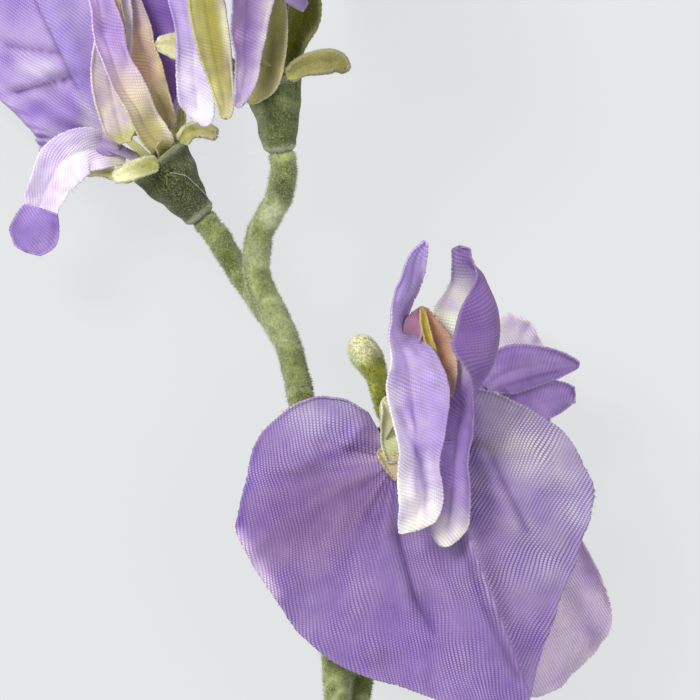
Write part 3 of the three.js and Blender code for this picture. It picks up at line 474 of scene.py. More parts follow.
def grid_faces(rows, columns, closed=False, start=0):
    """Four-cornered faces over a grid of points. A closed grid joins its last column to its first."""
    i, j = np.meshgrid(np.arange(rows - 1), np.arange(columns - (not closed)), indexing="ij")
    right = (j + 1) % columns
    corners = (i * columns + j, (i + 1) * columns + j, (i + 1) * columns + right, i * columns + right)
    return np.stack([c.ravel() for c in corners], axis=1) + start


def tube(shape, centres, radii, sides, dyes, flats=(0, 0), up=UP):
    """A closed tube along points. A radius is a number, or a row of numbers round the tube."""
    centres = np.asarray(centres, float)
    ahead = unit(np.gradient(centres, axis=0))
    side = unit(np.cross(ahead, up))
    top = np.cross(side, ahead)
    angle = round_about(sides)
    radii = np.asarray(radii, float)
    radii = radii.reshape(len(radii), -1, 1)
    out = np.cos(angle)[None, :, None] * side[:, None] + np.sin(angle)[None, :, None] * top[:, None]
    points = np.concatenate(((centres[:, None] + out * radii).reshape(-1, 3), centres[[0, -1]]))
    dyes = np.asarray(dyes, float)
    if dyes.ndim > 1:
        dyes = np.concatenate((np.repeat(dyes, sides, axis=0), dyes[[0, -1]]))
    body = grid_faces(len(centres), sides, closed=True).tolist()
    foot, head = len(points) - 2, len(points) - 1
    last = (len(centres) - 1) * sides
    for j in range(sides):
        k = (j + 1) % sides
        body += [[foot, j, k, k], [head, last + k, last + j, last + j]]
    shape.add(points, dyes, flats, body)


def sheet(shape, points, flats, dyes, thickness):
    """A closed sheet over a grid of middle points, with a front, a back and a rim."""
    m, n = points.shape[:2]
    normal = unit(np.cross(np.gradient(points, axis=0), np.gradient(points, axis=1)))
    both = np.concatenate((points + normal * thickness / 2, points - normal * thickness / 2))
    front = grid_faces(m, n)
    back = grid_faces(m, n, start=m * n)[:, ::-1]
    rim = [*range(n - 1)]
    rim += [i * n + n - 1 for i in range(m - 1)]
    rim += [(m - 1) * n + j for j in range(n - 1, 0, -1)]
    rim += [i * n for i in range(m - 1, 0, -1)]
    rim = np.array(rim)
    after = np.roll(rim, -1)
    edge = np.stack((rim, after, after + m * n, rim + m * n), axis=1)
    twice = np.concatenate((flats.reshape(-1, 2), flats.reshape(-1, 2)))
    surface_colours = np.concatenate((dyes.reshape(-1, 3), dyes.reshape(-1, 3)))
    shape.add(both.reshape(-1, 3), surface_colours, twice, np.concatenate((front, back, edge)))


def fibres(shape, roots, heads, width, dyes, tips):
    """Short three-sided hairs from root points to head points."""
    along = unit(heads - roots)
    side = unit(np.cross(along, np.where(np.abs(along[:, 2:]) > 0.8, [1.0, 0, 0], UP)))
    top = np.cross(side, along)
    ring = [
        roots + (side * math.cos(a) + top * math.sin(a)) * width / 2
        for a in (0, 2 * math.pi / 3, 4 * math.pi / 3)
    ]
    count = len(roots)
    number = np.arange(count)
    faces = [
        np.stack((number + a * count, number + b * count, number + 3 * count, number + 3 * count), axis=1)
        for a, b in ((0, 1), (1, 2), (2, 0))
    ]
    colours = np.concatenate([np.broadcast_to(dyes, (count, 3))] * 3 + [np.broadcast_to(tips, (count, 3))])
    shape.add(np.concatenate((*ring, heads)), colours, (0, 0), np.concatenate(faces))


def sprout(shape, seed, density, length, width=0.07, lean=0.7, tip=FROST, far_density=None, dark=3.6):
    """Flock: hairs all over the faces that a shape has so far, paler on its sides as a painted sheen."""
    rng = np.random.default_rng(seed)
    points, dyes, _ = shape.joined()
    corners = points[np.array([f[:3] for f in shape.faces])]
    fourth = points[np.array([f[3] for f in shape.faces])]
    dye = dyes[np.array([f[0] for f in shape.faces])]
    cross = np.cross(corners[:, 1] - corners[:, 0], corners[:, 2] - corners[:, 0])
    other = np.cross(corners[:, 2] - corners[:, 0], fourth - corners[:, 0])
    area = (np.linalg.norm(cross, axis=1) + np.linalg.norm(other, axis=1)) / 2
    many = np.full(len(area), float(density))
    if far_density is not None:
        far = np.abs(corners[:, 0, :2]).max(axis=1) > PICTURE_HALF + 2
        many[far] = far_density
    count = rng.poisson(area * many)
    pick = np.repeat(np.arange(len(area)), count)
    a, b = rng.random((2, len(pick), 1))
    c = corners[pick]
    roots = blend(blend(c[:, 0], c[:, 1], a), blend(fourth[pick], c[:, 2], a), b)
    normal = unit((cross + other)[pick])
    way = unit(normal + rng.normal(0, lean, (len(pick), 3)) * 0.6)
    way *= np.sign((way * normal).sum(axis=1, keepdims=True) + 1e-9)
    size = length * rng.uniform(0.45, 1.15, (len(pick), 1))
    base = dye[pick] * rng.uniform(0.55, 1.15, (len(pick), 1))
    # Painted sheen: hairs on the shape's sides get paler tips, as light grazing the nap would show them
    painted_sheen_side = 1 - np.abs(normal[:, 2:])
    pale = rng.random((len(pick), 1)) ** (dark * (1 - 0.75 * painted_sheen_side**2)) * 0.95
    foot, head = blend(base, tip, pale * 0.4), blend(base, tip, pale)
    fibres(shape, roots - normal * 0.02, roots + way * size, width, foot, head)


LOWEST, SOFT_LOW = 0.02, 0.3  # nothing dips under the floor: it flattens out over it


def piece_of(name, shape, material, slot, *nodes):
    """The finished piece: a mesh in metres, riding on the part's one body."""
    points, dyes, flats = shape.joined()
    low = LOWEST + (SOFT_LOW - LOWEST) * np.exp(np.minimum(points[:, 2] - SOFT_LOW, 0) / (SOFT_LOW - LOWEST))
    points[:, 2] = np.where(points[:, 2] < SOFT_LOW, low, points[:, 2])
    mesh = bpy.data.meshes.new(name)
    faces = [f[:3] if f[2] == f[3] else f for f in shape.faces]
    mesh.from_pydata(((points + PICTURE_MIDDLE) * MM).tolist(), [], faces)
    # The dye attribute holds each point's colour: its dye, with the painted shade and light that the dabs
    # and the flock lay
    colour = mesh.color_attributes.new("dye", "FLOAT_COLOR", "POINT")
    rgba = np.ones((len(points), 4))
    rgba[:, :3] = np.clip(dyes, 0, 1)
    colour.data.foreach_set("color", rgba.ravel())
    layer = mesh.uv_layers.new(name="flat")
    corner = np.empty(len(mesh.loops), int)
    mesh.loops.foreach_get("vertex_index", corner)
    layer.data.foreach_set("uv", flats[corner].ravel())
    mesh.shade_smooth()
    mesh.materials.append(material)
    piece = bpy.data.objects.new(name, mesh)
    bpy.context.collection.objects.link(piece)
    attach(piece, "root")
    if nodes:
        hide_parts(*nodes)


# Cloth petals


def beside(x, y, line):
    """How far points are along a line, as a share of its length, and to the right of it."""
    ax, ay, bx, by = line
    dx, dy = bx - ax, by - ay
    length = math.hypot(dx, dy)
    along = ((x - ax) * dx + (y - ay) * dy) / length**2
    return along, ((x - ax) * dy - (y - ay) * dx) / length


def crease_height(x, y, crease):
    """How high a pressed crease lifts the cloth: a soft ridge along a line."""
    *line, height, width = crease
    along, off = beside(x, y, line)
    ends = smoothstep(along, -0.15, 0.15) * (1 - smoothstep(along, 0.85, 1.15))
    return height * bell(off / width) * ends


def slope_height(x, y, slope):
    """How far the cloth has dropped or risen past a line, where it bends over a soft length."""
    ax, ay, heading, steepness, soft = slope
    heading = math.radians(heading)
    past = (x - ax) * math.cos(heading) + (y - ay) * math.sin(heading)
    bent = np.where(past < soft, past**2 / (2 * soft), past - soft / 2)
    return steepness * np.where(past <= 0, 0, bent)


def past_line(x, y, line):
    """How far points are to the right of a line, and how much they are beside it."""
    along, past = beside(x, y, line)
    return past, smoothstep(along, -0.2, 0.2) * (1 - smoothstep(along, 0.9, 1.2))


def lap_height(x, y, lap):
    """Cloth that laps over itself: a sharp step up along a line, which dies away past it."""
    past, ends = past_line(x, y, lap["line"])
    fade = np.exp(-np.maximum(past, 0) / lap["reach"])
    return lap["height"] * ends * smoothstep(past, -0.12, 0.12) * fade


def lap_dye_and_shadow(x, y, lap, dyes):
    """The dye of cloth that laps over itself, and the shadow that it casts, painted on the cloth under it.
    """
    past, ends = past_line(x, y, lap["line"])
    fade = np.exp(-np.maximum(past, 0) / lap["reach"])
    over = lap["strength"] * ends * smoothstep(past, -0.1, 0.1) * fade
    # Painted shadow: deep violet on the cloth just short of the lap's line
    under = 0.55 * ends * smoothstep(past, -0.9, 0) * (past < 0)
    return blend(blend(dyes, lap["dye"], over[..., None]), SHADE_VIOLET, under[..., None])


def euler_matrix(degrees):
    """Turns about z, then y, then x of the turned frame, as the CAD part does."""
    a, b, c = np.radians(degrees)
    rx = np.array([[1, 0, 0], [0, math.cos(a), -math.sin(a)], [0, math.sin(a), math.cos(a)]])
    ry = np.array([[math.cos(b), 0, math.sin(b)], [0, 1, 0], [-math.sin(b), 0, math.cos(b)]])
    rz = np.array([[math.cos(c), -math.sin(c), 0], [math.sin(c), math.cos(c), 0], [0, 0, 1]])
    return rz @ ry @ rx


def surface_colours(x, y, base, dabs):
    """The cloth's colour: its dye, with the painted shade and painted highlights that some dabs lay. A dab
    is x, y, x, y of a short stroke, its reach, a colour and a strength.
    """
    colour = np.broadcast_to(base, (*x.shape, 3)).astype(float)
    for ax, ay, bx, by, reach, dye, strength in dabs:
        dx, dy = bx - ax, by - ay
        long2 = dx * dx + dy * dy
        share = np.clip(((x - ax) * dx + (y - ay) * dy) / long2, 0, 1) if long2 else 0
        far = np.hypot(x - ax - share * dx, y - ay - share * dy) / reach
        weight = (strength * bell(far))[..., None]
        colour = blend(colour, dye, weight)
    return colour


def strip_surface_colours(t, v, base, dabs):
    """The colour of a long petal: its dye, with the painted shade and painted highlights that some dabs lay.
    A dab is t, v, its reach in t and in v, a colour and a strength.
    """
    colour = np.broadcast_to(base, (*t.shape, 3)).astype(float)
    for t0, v0, reach_t, reach_v, dye, strength in dabs:
        far = ((t - t0) / reach_t) ** 2 + ((v - v0) / reach_v) ** 2
        weight = (strength * np.exp(-far))[..., None]
        colour = blend(colour, dye, weight)
    return colour


def frayed(shape, rim, inner, dyes, seed, every=0.55, longest=0.7):
    """Loose thread ends that stand out from a cut edge."""
    rng = np.random.default_rng(seed)
    run = run_along(rim)
    places = rng.uniform(0, run[-1], max(4, int(run[-1] / every)))
    pick = np.clip(np.searchsorted(run, places), 1, len(rim) - 1)
    out = unit(rim[pick] - inner[pick])
    way = unit(out + rng.normal(0, 0.45, out.shape))
    length = rng.uniform(0.1, 1, (len(pick), 1)) ** 2 * longest
    roots = rim[pick] - out * 0.08
    colour = blend(dyes[pick], WHITE, 0.4)
    fibres(shape, roots, rim[pick] + way * length, 0.09, colour, colour)


def uneven(dyes, share):
    """Dye that took unevenly: thin and grey where share is high, deep and blue where it is low."""
    return dyes * (1 + share[..., None] * np.array([0.1, 0.14, 0.03]))


def fuzz_and_sheen_rim(dyes, share):
    """A little paler at a cut edge, where share is 1: the edge's own fuzz, and a painted sheen on it."""
    return blend(dyes, WHITE, (share * 0.14)[..., None])


def cut_jag(rng, count, edges):
    """The small zigzag of a cut edge, over its points."""
    return rng.normal(0, FRAY, (count, edges)) + np.where(np.arange(count) % 2, FRAY, -FRAY)[:, None]


def on_the_bias(x, y, heading):
    """Places on the flat cloth, whose threads run at a heading to the petal."""
    across, along = np.cos(heading), np.sin(heading)
    return np.stack((x * across + y * along, y * across - x * along), axis=-1)


def standard_sheet(shape, bloom, seed, look):
    """A standard petal: a round sheet about its claw, with its cut, creases and slopes."""
    petal = bloom["standard"]
    columns, rings = look.get("grid", STANDARD_GRID)
    t = np.linspace(0, 1, columns)
    rng = np.random.default_rng(seed)
    cut = smooth(petal["cut"], t)
    angle, edge = np.radians(cut[:, :1]), cut[:, 1:]
    share = np.linspace(0, 1, rings)[None, :]
    wander = ripple(t * EDGE_RUN, 0 * t, 3, seed)[:, None] * 0.1
    edge = edge + wander + cut_jag(rng, columns, 1) * 0.9
    for heading, change, spread in look.get("edge", []):
        edge = edge + change * bell((cut[:, :1] - heading) / spread)
    hole = petal["hole"]
    if "closer" in look:
        heading, spread, much = look["closer"]
        hole = hole - much * bell((angle - math.radians(heading)) / math.radians(spread))
    reach = hole + (edge - hole) * share**0.9
    x, y = reach * np.cos(angle), reach * np.sin(angle)
    z = petal["dish"] * share**2
    z = z + petal["ruffle"] * np.sin(angle * petal["waves"] + petal["phase"]) * share**3
    for crease in petal["creases"] + look.get("creases", []):
        z = z + crease_height(x, y, crease)
    for slope in petal["slopes"]:
        z = z + slope_height(x, y, slope)
    for lap in look.get("laps", []):
        z = z + lap_height(x, y, lap)
    crumple = look.get("crumple", 1)
    streak = ripple(reach * 0.25, angle * 12, 1.6, seed + 3)
    z = z + ripple(x, y, 5.5, seed + 1) * 0.24 * share * crumple
    z = z + ripple(x, y, 2.4, seed + 2) * 0.09 * crumple
    z = z + streak * 0.08
    run = t[:, None] * RIM_RUN
    z = z + ripple(run + 0 * share, 0 * share + 1, 4.5, seed + 4) * 0.4 * smoothstep(share, 0.72, 1)
    curl = look.get("curl", 0.35) * smoothstep(share, 0.95, 1)
    z = z + curl * (1 + ripple(run, 0, 14, seed + 5))
    local = np.stack((x, y, z), axis=-1) @ euler_matrix(petal["turned"]).T
    points = local + petal["at"] + bloom["seat"]
    plan_x, plan_y = (x, y) if any(petal["turned"]) else (x + petal["at"][0], y + petal["at"][1])
    dyes = surface_colours(plan_x, plan_y, look["base"], look["dabs"])
    for lap in look.get("laps", []):
        dyes = lap_dye_and_shadow(x, y, lap, dyes)
    dyes = uneven(dyes, 0.6 * ripple(x, y, 3.6, seed + 6) + 0.4 * ripple(x, y, 1.2, seed + 7) + 0.5 * streak)
    dyes = fuzz_and_sheen_rim(dyes, smoothstep(share, 0.98, 1))
    heading = math.radians(look.get("bias", 12))
    if "turned_past" in look:
        line, other = look["turned_past"]
        heading = np.where(past_line(x, y, line)[0] > 0, math.radians(other), heading)
    flats = on_the_bias(x, y, heading)
    sheet(shape, points, flats, dyes, CLOTH)
    frayed(shape, points[:, -1], points[:, -4], dyes[:, -1], seed + 8, longest=0.6)
    return points


def strip_sheet(shape, stations, seat, seed, look, steps, cells, thickness=CLOTH):
    """A long petal. Each station is x, y, z, width, turn and cup, as in the CAD part."""
    stations = np.asarray(stations, float)
    t = np.linspace(0, 1, steps + 1)
    rng = np.random.default_rng(seed)
    centre, form = smooth(stations[:, :3], t), smooth(stations[:, 3:6], t)
    ahead = ahead_of(stations[:, :3], t)
    side = turned(unit(np.cross(ahead, UP)), ahead, form[:, 1])
    face = np.cross(side, ahead)
    v = np.linspace(-1, 1, cells + 1)[None, :]
    across, lift = v + 0 * t[:, None], v**2 * form[:, 2:3]
    if "roll" in look:
        across, lift = rolled(t, v, form, look["roll"])
    half = form[:, :1] / 2 * rounded(t, look.get("foot", 0), look.get("tip", 0.05))[:, None]
    for place, more, spread in look.get("wider", []):
        half = half * (1 + more * bell((t[:, None] - place) / spread))
    jag = cut_jag(rng, steps + 1, 2)
    edge = smoothstep(np.abs(v), 0.9, 1) * np.sign(v)
    across = across * half + edge * np.where(v < 0, jag[:, :1], jag[:, 1:])
    run = run_along(centre)[:, None]
    wide = v * half
    calm = smoothstep(t[:, None], 0, 0.12)
    lift = lift + ripple(run, wide, 3.4, seed + 1) * look.get("wrinkle", 0.2) * calm
    lift = lift + ripple(run, wide, 1.5, seed + 2) * 0.06 * calm
    lift = lift + ripple(run + 0 * v, v * 2, 3.5, seed + 3) * 0.3 * smoothstep(np.abs(v), 0.55, 1) * calm
    lift = lift + look.get("curl", 0.25) * smoothstep(np.abs(v), 0.86, 1) * calm
    for t0, v0, t1, v1, height, width in look.get("folds", []):
        (x0, x1), (y0, y1) = np.interp([t0, t1], t, half[:, 0]) * [v0, v1], np.interp([t0, t1], t, run[:, 0])
        lift = lift + crease_height(wide, run + 0 * wide, (x0, y0, x1, y1, height, width))
    lift = lift - look.get("vein", 0.22) * bell(wide / 0.35) * calm
    points = centre[:, None] + side[:, None] * across[..., None] + face[:, None] * lift[..., None] + seat
    slant = look.get("slant", 0) * v * (1 - smoothstep(t[:, None], 0.02, 0.18))
    slant = slant * rounded(t, look.get("foot", 0), 0)[:, None]
    points = points + ahead[:, None] * slant[..., None]
    dyes = strip_surface_colours(t[:, None] + 0 * v, v + 0 * t[:, None], look["base"], look["dabs"])
    dyes = uneven(dyes, 0.6 * ripple(run, wide, 2.6, seed + 4) + 0.4 * ripple(run, wide, 1, seed + 5))
    dyes = fuzz_and_sheen_rim(dyes, smoothstep(np.abs(v), 0.94, 1))
    flats = on_the_bias(wide, run, math.radians(look.get("bias", 62)))
    sheet(shape, points, flats, dyes, thickness)
    return points, dyes


def rounded(t, foot, tip):
    """Shares of a strip's width that round off its ends, over shares of its length."""
    share = np.ones_like(t)
    for length, way in ((foot, t), (tip, 1 - t)):
        if length:
            share *= np.sqrt(np.clip(1 - np.clip(1 - way / length, 0, 1) ** 2, 0.004, 1))
    return share


def rolled(t, v, form, roll):
    """The cross-section of a petal whose right side rolls up and back over itself."""
    turns = smooth(np.array(roll["turns"])[:, None], t)
    arc = np.linspace(-1, 1, v.shape[1])
    bend = smoothstep(arc, roll["start"], roll.get("end", 1))[None, :] * np.radians(turns)
    cupped = 2 * arc[None, :] * form[:, 2:3] / np.maximum(form[:, :1] / 2, 0.5)
    bend = bend + np.arctan(cupped) * 0.5
    step = arc[1] - arc[0]
    across = np.cumsum(np.cos(bend), axis=1) * step
    lift = np.cumsum(np.sin(bend), axis=1) * step
    low, high = across.min(axis=1, keepdims=True), across.max(axis=1, keepdims=True)
    scale = 2 / (high - low)
    across = (across - low) * scale - 1
    middle = lift[:, [np.argmin(np.abs(arc))]]
    return across, (lift - middle) * scale * form[:, :1] / 2


def claw(shape, frame_matrix, place, end, end_side, end_width, colours):
    """The narrow root of a petal: a gutter from the floor of the cup's mouth to a line in the petal."""
    side, front = place[0], place[1]
    rise = place[2] if len(place) > 2 else 1
    heights = (CUP_LENGTH - RECESS + GAP, CUP_LENGTH + rise)
    inside = [in_cup(frame_matrix, [side, h, front]) for h in heights]
    t = np.linspace(0, 1, 30)
    end = end + unit(inside[1] - end) * CLOTH
    line = smooth(np.array([*inside, end]), t)
    ahead = unit(np.gradient(line, axis=0))
    out = frame_matrix[0] @ unit(np.array([side, 0.01, front]))
    first = unit(np.cross(ahead[0], out))
    end_side = end_side * np.sign(first @ end_side + 1e-9)
    share = smoothstep(t, 0.25, 1)[:, None]
    across = unit(blend(first, end_side, share))
    face = np.cross(across, ahead)
    width = CLAW_WIDTH + (min(1.5, end_width) - CLAW_WIDTH) * smoothstep(t, 0, 0.5)
    width = (width + (end_width - width) * smoothstep(t, 0.5, 1))[:, None]
    v = np.linspace(-1, 1, 11)[None, :]
    cupped = (v**2 - 0.35) * width * 0.22 * (1 - share * 0.8)
    points = line[:, None] + across[:, None] * (v * width / 2)[..., None]
    points = points - face[:, None] * cupped[..., None]
    dyes = blend(*colours, share)[:, None] + 0 * points
    run = (t * np.linalg.norm(end - inside[0]))[:, None]
    sheet(shape, points, np.stack((v * width / 2, run + 0 * v), axis=-1), dyes, CLOTH)


def cup_frame(bloom):
    """A cup's frame has its y along the cup, from foot to mouth."""
    y = unit(np.array(bloom["axis"], float))
    x = unit(np.cross(y, np.array(bloom.get("front", [0, 0, 1]), float)))
    z = np.cross(x, y)
    return np.stack((x, y, z), axis=1), np.array(bloom["seat"], float) - y * CUP_LENGTH


def in_cup(frame_matrix, points):
    basis, foot = frame_matrix
    return np.asarray(points, float) @ basis.T + foot


# What each petal looks like: its base dye, dabs over it, and how its cloth is pressed. The dabs are
# patches of dye, and also painted shade in creases and folds and painted highlights on lit folds and
# edges. A dab on a standard is x, y, x, y, reach, colour and strength, from the bloom's seat. A dab on a
# long petal is t, v, its reach in t and in v, colour and strength, where t runs from foot to tip and v
# from -1 to 1 across. A fold is t, v, t, v, height and width. An extra is a slip of cloth: stations, dye,
# dabs.

CREAM_ROOT = (0.02, 0, 0.12, 3, IVORY, 0.9)
# A streak of darker violet, painted as the shade in a wing's fold
FOLD_SHADE_STREAK = [(0.36, -0.18), (0.31, -0.08), (0.27, 0.06), (0.23, 0.18), (0.18, 0.34), (0.14, 0.42)]

